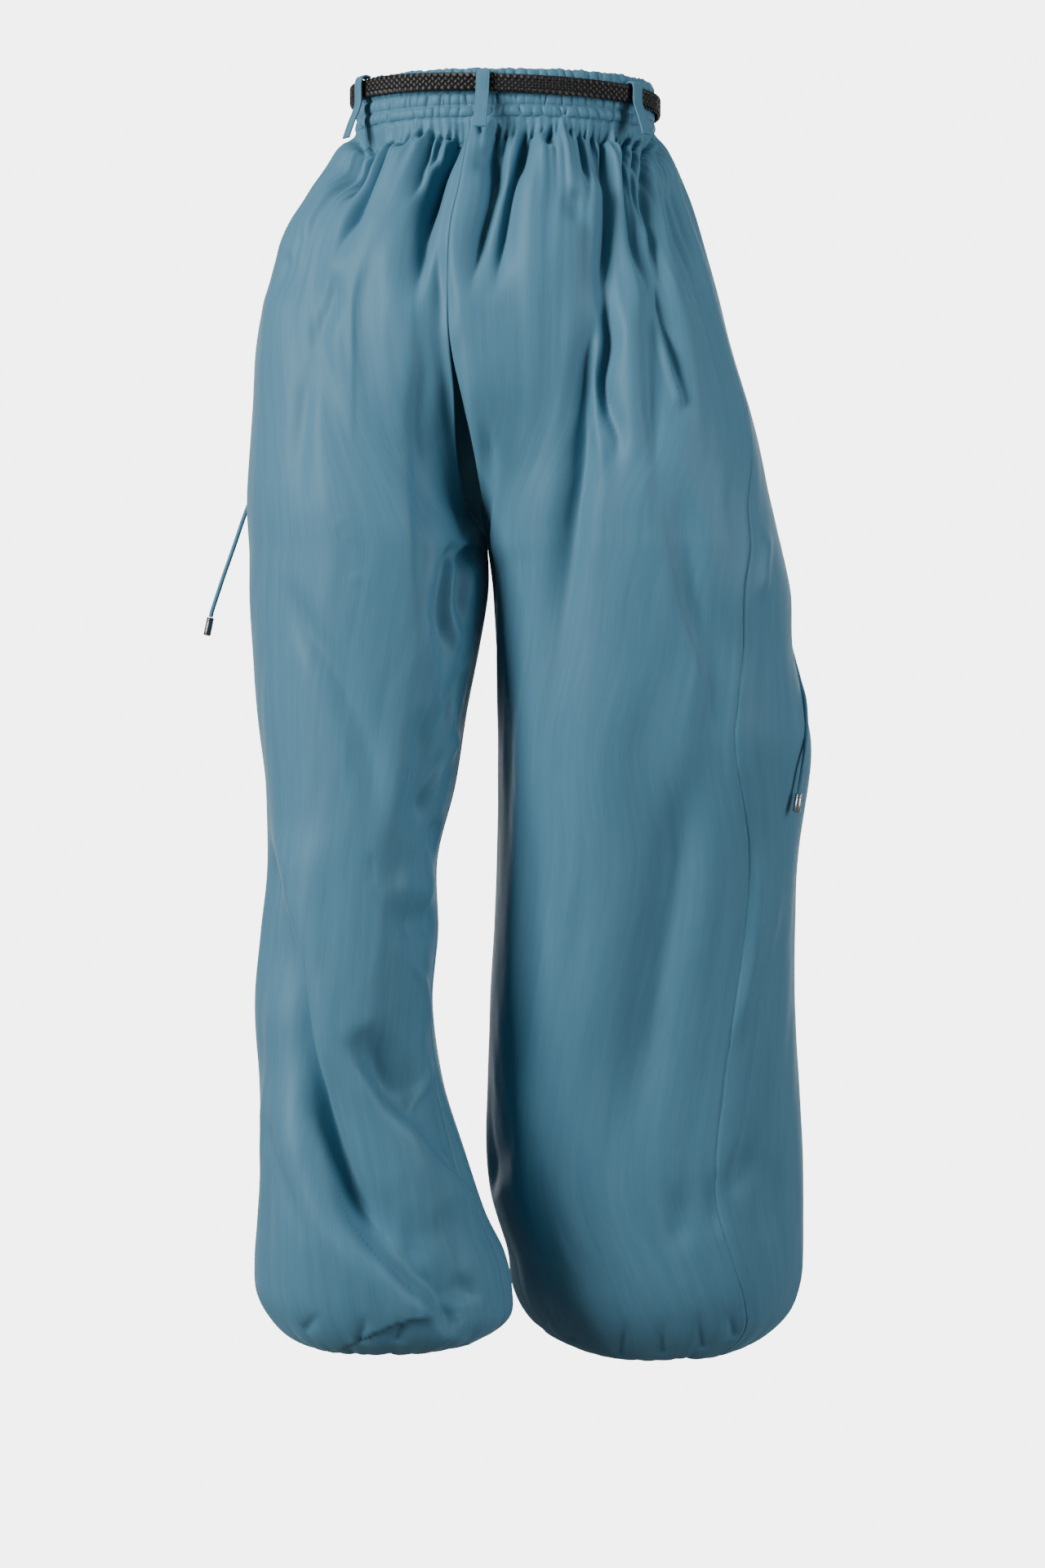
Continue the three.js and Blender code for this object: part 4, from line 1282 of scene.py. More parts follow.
# Folds down the legs, seen from behind
LEG_FOLDS = (
    *creases(-4.5, (8.0, 10.0), Edge.SOFT, (0.3, 0.5),
        ((379, 430), (371, 490), (364, 550), (360, 640))),
    *creases(-6.5, (9.0, 13.0), Edge.SOFT, (0.3, 0.3),
        ((341, 697), (362, 740), (379, 776), (410, 828), (430, 870), (447, 914), (466, 983), (478, 1020))),
    *creases(1.0, (2.2, 2.6), Edge.SOFT, (0.4, 0.4),
        ((402, 646), (418, 641), (432, 637)), ((418, 651), (428, 655), (436, 662)),
        ((425, 712), (436, 708), (449, 706))),
    *creases(4.5, (3.2, 3.6), Edge.SOFT, (0.15, 0.3),
        ((589, 642), (573, 676), (563, 707), (559, 752), (562, 793), (566, 810))),
    *creases(-11.5, (6.0, 8.0), Edge.SOFT, (0.2, 0.4),
        ((573, 655), (556, 695), (545, 745), (547, 790), (552, 830)),
        ((583, 660), (572, 710), (568, 755), (572, 790))),
    *creases(3.5, (2.6, 3.0), Edge.SOFT, (0.2, 0.3),
        ((586, 673), (579, 725), (576, 759), (580, 787)),
        ((578, 799), (565, 818), (554, 862), (552, 897), (559, 920)),
        ((563, 890), (548, 930), (534, 965), (520, 1003))),
    *creases(-5.0, (3.0, 4.0), Edge.CUSP, (0.3, 0.4),
        ((571, 800), (558, 835), (545, 880), (543, 915)), ((553, 910), (537, 950), (524, 985), (515, 1020)),
        ((539, 1000), (531, 1030), (526, 1052))),
    *creases(2.0, (2.2, 2.8), Edge.SOFT, (0.3, 0.4),
        ((520, 725), (527, 776), (536, 845), (541, 880), (546, 918)), ((507, 917), (510, 949), (507, 1000)),
        ((545, 1000), (538, 1030), (531, 1058))),
    *creases(-9.0, (10.0, 12.0), Edge.SOFT, (0.3, 0.3),
        ((524, 860), (522, 920), (518, 980), (522, 1040))),
    *creases(4.0, (15.0, 16.0), Edge.SOFT, (0.45, 0.3),
        ((478, 1070), (500, 1085), (520, 1088), (540, 1092))),
    *creases(-7.0, (13.0, 15.0), Edge.SOFT, (0.5, 0.25),
        ((480, 1150), (496, 1138), (512, 1130), (536, 1128))),
    *creases(-1.5, (2.6, 3.4), Edge.CUSP, (0.4, 0.4),
        ((455, 1040), (457, 1060), (460, 1090)), ((508, 1168), (520, 1200), (528, 1240), (532, 1275))),
    *creases(3.5, (2.6, 3.0), Edge.SOFT, (0.3, 0.3),
        ((503, 1168), (516, 1197), (525, 1233), (531, 1270)),
        ((533, 1290), (528, 1328), (518, 1353), (513, 1372))),
    *creases(27.0, (11.0, 13.0), Edge.RIGHT_OVER, (0.18, 0.35),
        ((331, 1000), (336, 1035), (343, 1070), (354, 1136), (366, 1215), (377, 1290), (389, 1352),
         (404, 1400))),
    *creases(-20.0, (14.0, 18.0), Edge.SOFT, (0.25, 0.2),
        ((341, 1100), (346, 1160), (352, 1220), (362, 1290), (376, 1350), (398, 1408), (424, 1464),
         (455, 1506), (492, 1545))),
    *creases(34.0, (16.0, 15.0), Edge.LEFT_OVER, (0.3, 0.08),
        ((344, 1280), (357, 1325), (374, 1378), (395, 1432), (417, 1485), (445, 1522), (474, 1551),
         (503, 1579), (524, 1594), (534, 1612), (528, 1632))),
    *creases(-3.5, (5.0, 7.0), Edge.SOFT, (0.2, 0.4),
        ((327, 1360), (336, 1396), (352, 1450), (368, 1500), (382, 1530))),
    *creases(22.0, (13.0, 15.0), Edge.LEFT_OVER, (0.35, 0.15),
        ((405, 1262), (424, 1290), (450, 1316), (472, 1342), (500, 1372), (519, 1390), (546, 1425),
         (575, 1458), (592, 1480))),
    *creases(-10.0, (14.0, 18.0), Edge.SOFT, (0.35, 0.35),
        ((447, 1250), (463, 1290), (484, 1322), (508, 1350), (530, 1372))),
    *creases(-3.0, (10.0, 12.0), Edge.SOFT, (0.5, 0.4),
        ((482, 1440), (480, 1490), (482, 1530), (488, 1560)), ((508, 1470), (512, 1520), (522, 1570))),
    *creases(-2.5, (6.0, 7.0), Edge.SOFT, (0.5, 0.4),
        ((566, 1560), (580, 1578), (592, 1600)), ((534, 1600), (550, 1616), (570, 1622))),
    *creases(3.0, (2.6, 3.0), Edge.SOFT, (0.3, 0.3),
        ((549, 1400), (562, 1430), (577, 1460))),
    *creases(6.0, (6.0, 8.0), Edge.LEFT_OVER, (0.25, 0.45),
        ((808, 590), (814, 650), (832, 735), (855, 811), (868, 880), (877, 935), (888, 975))),
    *creases(-4.5, (9.0, 12.0), Edge.SOFT, (0.3, 0.4),
        ((829, 560), (838, 640), (851, 720), (870, 790), (884, 860)),
        ((655, 930), (651, 1016), (644, 1197), (637, 1306), (637, 1414), (648, 1455))),
    *creases(9.0, (24.0, 30.0), Edge.SOFT, (0.3, 0.4),
        ((728, 700), (730, 860), (735, 1000), (738, 1125), (722, 1260), (716, 1342), (718, 1450))),
    *creases(-12.0, (16.0, 20.0), Edge.SOFT, (0.3, 0.35),
        ((858, 900), (840, 1000), (826, 1090), (808, 1180), (796, 1280), (792, 1370), (806, 1450))),
    *creases(4.5, (4.0, 5.0), Edge.SOFT, (0.3, 0.3),
        ((930, 1010), (928, 1088), (921, 1161), (909, 1233), (900, 1290)),
        ((944, 640), (938, 690), (936, 740))),
    *creases(8.0, (8.0, 10.0), Edge.LEFT_OVER, (0.3, 0.15),
        ((960, 1040), (952, 1125), (938, 1197), (924, 1288), (915, 1360), (906, 1415), (894, 1454),
         (884, 1476))),
    *creases(-3.5, (5.0, 6.0), Edge.CUSP, (0.5, 0.4),
        ((914, 1385), (903, 1430), (888, 1468)), ((868, 1430), (875, 1475), (880, 1520))),
    *creases(-4.0, (9.0, 10.0), Edge.SOFT, (0.5, 0.4),
        ((827, 1440), (834, 1480), (835, 1510), (828, 1540)),
        ((938, 1400), (948, 1450), (944, 1490), (934, 1535))),
    *creases(-3.0, (3.5, 4.5), Edge.CUSP, (0.1, 0.7),
        ((372, 1632), (384, 1618), (398, 1606)), ((662, 1632), (668, 1610), (678, 1590)),
        ((548, 1640), (552, 1620), (560, 1600)), ((440, 1645), (446, 1622), (450, 1600)),
        ((760, 1662), (764, 1636), (768, 1610)), ((812, 1662), (812, 1636), (814, 1606)),
        ((700, 1645), (706, 1622), (712, 1600)), ((862, 1655), (858, 1630), (856, 1600)),
        ((486, 1646), (490, 1625), (492, 1605)), ((900, 1640), (896, 1620), (894, 1600))),
)
FOLDS = (*FRONT_FOLDS, *PLEATS, *SEAT_FOLDS, *LEG_FOLDS)


@dataclass(frozen=True)
class Gathers:
    """Small pleats that start in a row of stitches and die out along the cloth.

    Depths, reaches and widths are in millimetres. Chance moves the pleats by scatter, leaning and
    uneven, and puff is how far the cloth between them stands out.
    """

    count: int
    depth: Pair
    reach: Pair
    crease: float
    spread: float
    scatter: float = 0.28
    leaning: float = 0.5
    lean_reach: float = 160.0
    uneven: float = 0.45
    few_long: float = 1.6
    fading: float = 1.6
    tip: float = 0.2
    tip_spread: float = 0.03
    pinched: float = 0.65
    pinch_reach: float = 9.0
    puff: float = 0.55

    def rise(self, across: Array, wide: Array, down: Array, seed: int) -> Array:
        """Height of the pleats above the smooth cloth.

        Args:
            across: Share of the way across the panel.
            wide: Panel's real width at each place.
            down: Distance along the cloth from the stitches.
            seed: Chooses the pleats.

        Returns:
            The rise at each place.
        """
        chance = np.random.default_rng(seed)
        rise = np.zeros(np.shape(across))
        blunt = self.tip + self.tip_spread * down
        for i in range(self.count):
            place = (i + 0.5 + chance.uniform(-self.scatter, self.scatter)) / self.count
            deep = chance.uniform(*self.depth)
            reach = self.reach[0] * (self.reach[1] / self.reach[0]) ** (chance.uniform() ** self.few_long)
            lean = chance.uniform(-self.leaning, self.leaning) / self.count
            uneven = chance.uniform(-self.uneven, self.uneven)
            away = (across - place - lean * smoothstep(down, 0, self.lean_reach)) * wide
            width = (self.crease + self.spread * down) * np.where(away > 0, 1 + uneven, 1 - uneven)
            crease = np.exp(-(np.hypot(away, blunt) - blunt) / width)
            rise -= deep * crease * np.exp(-(down / reach) ** self.fading)
        lift = 0.5 * (self.depth[0] + self.depth[1]) * self.puff
        rise = rise + lift * np.exp(-down / (0.5 * self.reach[0] + 0.2 * self.reach[1]))
        return rise * (self.pinched + (1 - self.pinched) * smoothstep(down, 0.0, self.pinch_reach))


@dataclass(frozen=True)
class Unevenness:
    """One layer of soft humps over the flat cloth, with their height and their size in millimetres."""

    height: float
    wide: float
    long: float
    seed: int
    shift: Pair = (0.0, 0.0)
    drift: float = math.inf

    def rise(self, across: Array, down: Array, seed: int) -> Array:
        """Height of the humps.

        Args:
            across: Distance across the flat panel.
            down: Distance along it.
            seed: Number of the panel.

        Returns:
            The rise at each place.
        """
        x = across / self.wide + self.shift[0] + down / self.drift
        return self.height * soft_noise(x, down / self.long + self.shift[1], seed + self.seed)


@dataclass
class LegPanels:
    """The four panels of cloth, each a thin shell from the waistband to the ankle casing.

    The pocket mouths in the side seams stand open by gapes, on the left and on the right.
    """

    form: GarmentForm
    view: Viewpoint
    thick: float = 0.6
    seam_gap: float = 0.03
    flat_width: float = 345.0
    cut: Pair = (0.385, 1.11)
    counts: tuple[tuple[int, int], ...] = ((278, 174), (210, 130))
    close_at_waist: Pair = (1.6, 30.0)
    close_at_hem: Pair = (0.9, 120.0)
    seam_roll: float = 0.4
    seam_reach: float = 1.5
    tuck: float = 2.5
    tuck_reach: float = 4.0
    held_reach: float = 3.5
    gapes: Pair = (4.5, 0.6)
    mouth_top: float = -88.0
    mouth_foot: float = -236.0
    mouth_reach: float = 0.07
    waist_back: Gathers = Gathers(36, (3.4, 7.0), (40.0, 210.0), 1.7, 0.024)
    waist_front: Gathers = Gathers(21, (3.0, 5.6), (45.0, 260.0), 1.9, 0.030)
    hem: Gathers = Gathers(15, (1.5, 3.5), (40.0, 130.0), 3.0, 0.040)
    layers: tuple[Unevenness, ...] = (
        Unevenness(2.2, 48, 330, 40, shift=(9.0, 0.0)),
        Unevenness(1.3, 24, 170, 60, shift=(0.0, 5.0)),
        Unevenness(0.35, 13, 45, 80, drift=60.0),
    )

    def rows(self, leg: Leg, face: Face, count: int) -> Array:
        """Stations of the grid's rows, closer together at the waistband and the hem.

        Args:
            leg: The leg.
            face: The face.
            count: How many rows.

        Returns:
            The stations.
        """
        fine = np.linspace(0, self.form.last, 1500)
        line = self.form.point(leg, face, np.full(fine.shape, 0.5), fine)
        down = distances(line)
        middle = (down[1:] + down[:-1]) / 2
        weight = 1 + self.close_at_waist[0] * np.exp(-middle / self.close_at_waist[1])
        weight += self.close_at_hem[0] * np.exp(-(down[-1] - middle) / self.close_at_hem[1])
        told = np.r_[0.0, np.cumsum(np.diff(down) * weight)]
        return np.interp(np.linspace(0, told[-1], count), told, fine)

    def grid(self, leg: Leg, face: Face, rows: int, columns: int) -> tuple[Array, Array, Array]:
        """Cloth of one panel with its gathers and folds.

        Args:
            leg: The leg.
            face: The face.
            rows: Rows of points.
            columns: Points in a row.

        Returns:
            The points, the ways out, and the place of each point on the flat cloth.
        """
        station = self.rows(leg, face, rows)[:, None]
        across, station = np.broadcast_arrays(np.linspace(0.0, 1.0, columns)[None, :], station)
        smooth = self.form.point(leg, face, across, station)
        wide = np.linalg.norm(np.diff(smooth, axis=1), axis=2).sum(1)[:, None]
        edge = self.seam_gap / wide
        across = np.clip(across, edge, 1 - edge)
        smooth = self.form.point(leg, face, across, station)
        normal = self.form.normal(leg, face, across, station)
        down = np.r_[np.zeros((1, columns)),
                     np.cumsum(np.linalg.norm(np.diff(smooth, axis=0), axis=2), axis=0)]
        rise = self.rise(leg, face, across, wide, down, smooth, normal)
        place = np.stack([across * self.flat_width, down, 0 * down], -1)
        cloth = smooth + normal * rise[..., None]
        cloth[..., 2] += self.tuck * (1 - smoothstep(down, 0.0, self.tuck_reach))
        return cloth, normal, place

    def placed(self, face: Face, smooth: Array, normal: Array, down: Array, to_hem: Array) -> Array:
        """Rise of the listed folds.

        A fold seen from behind shows where the cloth faces back, also on a front panel's edge, and a
        fold of the front where it faces ahead.

        Args:
            face: Whose folds: those seen from behind or from in front.
            smooth: Points of the smooth cloth.
            normal: Ways out of it.
            down: Distance along the cloth from the waistband.
            to_hem: Distance along it to the hem.

        Returns:
            The rise at each point.
        """
        if face is Face.FRONT:
            seen = smooth[..., ::2]
            shown = smoothstep(normal[..., 1], 0.05, 0.4) * smoothstep(to_hem, 60, 110)
        else:
            seen = self.view.seen(smooth) * self.view.point_size
            shown = smoothstep(-normal[..., 1], 0.02, 0.22) * smoothstep(to_hem, 14, 40)
            shown = shown * (0.6 + 0.4 * smoothstep(down, 0.0, 8.0))
        rise = np.zeros(down.shape)
        if shown.any():
            for fold in FOLDS:
                if fold.face is face:
                    rise += fold.height(seen, self.view)
        return rise * shown

    def rise(self, leg: Leg, face: Face, across: Array, wide: Array, down: Array, smooth: Array,
             normal: Array) -> Array:
        """Rise of all gathers and folds above the smooth cloth.

        Args:
            leg: The leg.
            face: The face.
            across: Share of the way across.
            wide: Real width of each row.
            down: Distance along the cloth from the waistband.
            smooth: Points of the smooth cloth.
            normal: Ways out of it.

        Returns:
            The rise at each point.
        """
        seed = 10 + (1 if leg is Leg.LEFT else 2) + (0 if face is Face.BACK else 4)
        to_hem = down[-1:] - down
        to_seam = np.minimum(across, 1 - across) * wide
        waist = self.waist_back if face is Face.BACK else self.waist_front
        rise = waist.rise(across, wide, down, seed) + self.hem.rise(across, wide, to_hem, seed + 20)
        rise = rise * smoothstep(to_seam, 0.0, 7.0)
        body = smoothstep(down, 30, 150) * smoothstep(to_hem, 10, 120) * smoothstep(to_seam, 0.0, 24.0)
        for layer in self.layers:
            rise += body * layer.rise(across * self.flat_width, down, seed)
        for side in Face:
            rise += self.placed(side, smooth, normal, down, to_hem)
        mouth = (self.mouth_top - smooth[..., 2]) / (self.mouth_top - self.mouth_foot)
        gape = self.gapes[0 if leg is Leg.LEFT else 1] * np.sin(np.pi * np.clip(mouth, 0, 1))
        gape = gape * np.exp(-across / self.mouth_reach)
        rise = rise + (-gape if face is Face.FRONT else 0.3 * gape)
        pucker = 1 + 0.25 * soft_noise(down / 7, 0 * down + seed, seed + 90)
        held = smoothstep(down, 0.0, self.held_reach)
        rise = rise * np.where(rise < 0, held, 0.5 + 0.5 * held)
        return rise - self.seam_roll * pucker * np.exp(-((to_seam / self.seam_reach) ** 1.5))

    def make_one(self, leg: Leg, face: Face, finishes: Finishes) -> Object:
        """Args:
            leg: The leg.
            face: The face.
            finishes: The materials.

        Returns:
            The panel.
        """
        outer, normal, place = self.grid(leg, face, *self.counts[0 if face is Face.BACK else 1])
        inner = outer - normal * self.thick
        work = MeshWork()
        work.add_shell(outer, inner, place, ring=False, inside=1)
        piece = work.build(f"cloth_{face.value}_{leg.value}", [finishes.satin, finishes.inside])
        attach(piece, "root")
        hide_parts(f"{face.value}_{leg.value}")
        return piece

    def make(self, finishes: Finishes) -> list[Object]:
        """Makes all four panels."""
        return [self.make_one(leg, face, finishes) for leg in Leg for face in Face]


@dataclass
class PocketBags:
    """The two bags behind the side seams, each two layers of cloth pressed flat."""

    panels: LegPanels
    deep: float = 4.6
    thick: float = 1.4
    most_rise: float = 1.0
    stations: Pair = (5.0, 9.0)
    sides: Pair = (0.012, 0.39)
    rows: int = 50
    columns: int = 26

    def make_one(self, leg: Leg, finishes: Finishes) -> Object:
        """Makes one bag behind its front panel.

        Args:
            leg: Side of the bag.
            finishes: The materials.

        Returns:
            The bag.
        """
        form = self.panels.form
        station = np.linspace(*self.stations, self.rows)[:, None]
        across = np.linspace(*self.sides, self.columns)[None, :]
        across, station = np.broadcast_arrays(across, station)
        smooth = form.point(leg, Face.FRONT, across, station)
        normal = form.normal(leg, Face.FRONT, across, station)
        wide = np.linalg.norm(np.diff(smooth, axis=1), axis=2).sum(1)[:, None]
        wide = wide / (self.sides[1] - self.sides[0])
        down = form.tables[leg]["z"][0] - smooth[..., 2]
        rise = self.panels.rise(leg, Face.FRONT, across, wide, down, smooth, normal)
        outer = smooth + normal * (np.minimum(rise, self.most_rise) - self.deep)[..., None]
        inner = outer - normal * self.thick
        work = MeshWork()
        place = np.stack([across * self.panels.flat_width, down, 0 * down], -1)
        work.add_shell(outer, inner, place, ring=False)
        piece = work.build(f"bag_{leg.value}", [finishes.inside])
        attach(piece, "root")
        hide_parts(f"pocket_{leg.value}")
        return piece

    def make(self, finishes: Finishes) -> list[Object]:
        """Makes both bags."""
        return [self.make_one(leg, finishes) for leg in Leg]


@dataclass(frozen=True)
class Crinkles:
    """Small creases all round one channel of the band, in millimetres."""

    count: int
    deep: Pair
    width: float
    slant: float

    def depth(self, far: Array, long: float, share: Array, seed: int) -> Array:
        """Depth of the creases.

        Args:
            far: Distance along the band of each column.
            long: The band's length.
            share: Height within the channel, from 0 to 1, for each row.
            seed: Chooses their places.

        Returns:
            The depth, rows by columns.
        """
        chance, count = np.random.default_rng(seed), self.count
        depth = np.zeros((len(share), len(far)))
        places = (np.arange(count) + chance.uniform(-0.4, 0.4, count)) / count * long
        leans = chance.uniform(-self.slant, self.slant, count)
        deeps = chance.uniform(*self.deep, count)
        widths = self.width * chance.uniform(0.7, 1.5, count)
        fades = chance.uniform(-0.9, 0.9, count)
        for place, lean, most, wide, fade in zip(places, leans, deeps, widths, fades):
            away = far[None, :] - place - lean * (share[:, None] - 0.5)
            away = (away + long / 2) % long - long / 2
            fading = 1 + fade * (share[:, None] - 0.5)
            depth += most * fading * np.exp(-np.abs(away) / wide)
        return depth


@dataclass(frozen=True)
class Waistband:
    """Elastic band, shirred in channels that puff between their rows of stitches.

    The lowest channel, below the belt, is looser than the others and puffs out farther.
    """

    ring: WaistRing
    top: float = 17.0
    foot: float = -20.2
    inside: float = -2.4
    stitched: float = -0.5
    channels: int = 4
    columns: int = 1040
    rows_each: int = 11
    flat: Pair = (1.05, 0.037)
    puffs: Pair = (2.8, 2.0)
    puff_roundness: float = 0.55
    loose: Crinkles = Crinkles(90, (1.0, 3.4), 1.3, 2.6)
    loose_small: Crinkles = Crinkles(110, (0.0, 0.7), 0.6, 2.5)
    tight: Crinkles = Crinkles(120, (0.8, 2.8), 1.0, 1.8)
    ruffle: float = 0.8
    ruffle_tall: float = 6.0
    rim: tuple[Pair, ...] = ((0.1, -0.5), (0.3, -1.1), (0.1, -1.8))
    rim_uneven: float = 0.4
    gathered: float = 1.6

    def channel(self, number: int, far: Array, long: float, share: Array) -> Array:
        """Distance out of one channel's cloth.

        Args:
            number: The channel, 0 for the lowest.
            far: Distance along the band of each column.
            long: The band's length.
            share: Height within the channel, from 0 to 1, for each row.

        Returns:
            The distance, rows by columns.
        """
        lowest = number == 0
        cut = (self.loose if lowest else self.tight).depth(far, long, share, 70 + number)
        if lowest:
            cut = cut + self.loose_small.depth(far, long, share, 90)
        puff = (np.sin(np.pi * share) ** self.puff_roundness)[:, None]
        most = self.puffs[0 if lowest else 1]
        raised = puff * (most - np.minimum(cut, most + 0.2))
        return self.stitched + raised - 0.6 * np.minimum(cut, 1.5) * (1 - puff)

    def make(self, finishes: Finishes) -> Object:
        """Makes the band.

        Args:
            finishes: The materials.

        Returns:
            The band.
        """
        directions, long = self.ring.even_directions(self.columns)
        far = np.arange(self.columns) / self.columns * long
        share = np.linspace(0, 1, self.rows_each + 1)[:-1]
        tall = (self.top - self.foot) / self.channels
        z = np.concatenate([self.foot + tall * (number + share) for number in range(self.channels)])
        out = np.concatenate([self.channel(number, far, long, share) for number in range(self.channels)])
        ruffle = 0.7 * soft_noise(far / 2.6, 0 * far, 5) + 0.5 * soft_noise(far / 6.0, 0 * far, 6)
        z = z[:, None] + smoothstep(z[:, None], self.top - self.ruffle_tall, self.top) * ruffle * self.ruffle
        uneven = self.rim_uneven * soft_noise(far / 3, 0 * far, 8)
        z = np.vstack([z, *[self.top + level + self.ruffle * ruffle for level, _ in self.rim]])
        out = np.vstack([out, *[place + uneven for _, place in self.rim]])
        outer = self.ring.point(directions[None, :], out, z)
        inner_z = np.linspace(self.foot, self.top - 0.6, len(z))[:, None]
        inner = self.ring.point(directions[None, :], self.inside, inner_z)
        place = np.stack(np.broadcast_arrays(far[None, :] * self.gathered, z, 0.0), -1)
        work = MeshWork()
        work.add_shell(outer, inner, place, ring=True)
        piece = work.build("band", [finishes.satin])
        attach(piece, "root")
        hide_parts("waistband")
        return piece


@dataclass(frozen=True)
class BeltLoops:
    """Narrow topstitched loops that hold the belt on the band."""

    ring: WaistRing
    belt: BeltLine
    width: float = 10.5
    thick: float = 1.6
    edge: float = 0.45
    stitch_pitch: float = 2.1
    stitch_long: float = 1.35
    stitch_inset: float = 1.15
    stitch_depth: float = 0.36
    stitch_arch: float = 0.17
    foot_out_back: float = 20.0
    foot_out_front: float = 18.5
    places: tuple[tuple[str, float, float], ...] = (
        ("loop_back_right", 37.0, 2.0),
        ("loop_back_centre", 96.0, 2.0),
        ("loop_side_left", 153.0, 0.0),
        ("loop_front_left", 229.0, 0.0),
        ("loop_front_right", 324.0, 0.0),
    )

    def outline(self) -> Array:
        """Cross-section: flat below, a little crowned above, with a dip along each row of stitches."""
        half, t = self.width / 2, self.thick
        top = [(half, self.edge), (half - 0.12, t - 0.35), (half - 0.5, t - 0.02), (half - 0.8, t),
               (half - self.stitch_inset, t - 0.28), (half - 1.6, t), (half - 2.6, t + 0.05), (1.0, t + 0.12)]
        mirrored = [(-x, y) for x, y in reversed(top)]
        return np.array([(half - 0.4, 0.0), *top, *mirrored, (-half + 0.4, 0.0)])

    def route(self, direction: float, lean: float) -> tuple[Array, Array, Array]:
        """The loop's way over the belt.

        Args:
            direction: Direction round the waist in degrees.
            lean: How far its foot leans along the waist.

        Returns:
            The path, the way across and the way out of its right side.
        """
        turn = np.array(direction)
        outward, along = self.ring.ways(turn)
        belt_top = self.belt.height(self.ring.place(turn)[0]) + self.belt.tall / 2
        foot = self.foot_out_back if direction < 180 else self.foot_out_front
        rows = ((1.4, belt_top + 0.7, 0.0), (4.8, belt_top + 1.5, 0.0), (7.5, belt_top + 0.7, 0.0),
                (8.8, belt_top - 2.5, 0.1), (9.4, -4.0, 0.4), (15.5, -19.0, 0.8), (foot, -31.0, 1.0))
        places = np.array([self.ring.point(turn, out, z) + along * share * lean for out, z, share in rows])
        path = smooth_route(places, 9)
        run = unit(np.gradient(path, axis=0))
        wide = np.tile(along, (len(path), 1))
        over = unit(np.cross(run, wide))
        if (over[len(path) // 2] @ outward) < 0:
            over = -over
        return path, wide, over

    def make_one(self, name: str, direction: float, lean: float, finishes: Finishes) -> Object:
        """Makes one loop with its stitches.

        Args:
            name: The CAD node that it stands for.
            direction: Direction round the waist in degrees.
            lean: How far its foot leans.
            finishes: The materials.

        Returns:
            The loop.
        """
        path, wide, over = self.route(direction, lean)
        outline = np.tile(self.outline(), (len(path), 1, 1))
        work = MeshWork()
        work.add_bar(path, wide, over, outline)
        far = distances(path)
        arch = self.stitch_arch * np.array([0.0, 1.0, 1.0, 0.0])[:, None]
        thread = 0.2 * round_outline(1.9, 1.4, 0.6, 1)
        for side in (-1, 1):
            for mark in np.arange(1.5, far[-1] - 1.2, self.stitch_pitch):
                ends = np.linspace(mark, mark + self.stitch_long, 4)
                ways = [unit(rows_at(ends, far, way)) for way in (wide, over)]
                line = rows_at(ends, far, path) + ways[0] * side * (self.width / 2 - self.stitch_inset)
                line = line + ways[1] * (self.thick - self.stitch_depth + arch)
                work.add_bar(line, *ways, thread, finish=1)
        piece = work.build(f"strap_{name}", [finishes.satin, finishes.thread])
        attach(piece, "root")
        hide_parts(name)
        return piece

    def make(self, finishes: Finishes) -> list[Object]:
        """Makes all the loops."""
        return [self.make_one(*place, finishes) for place in self.places]


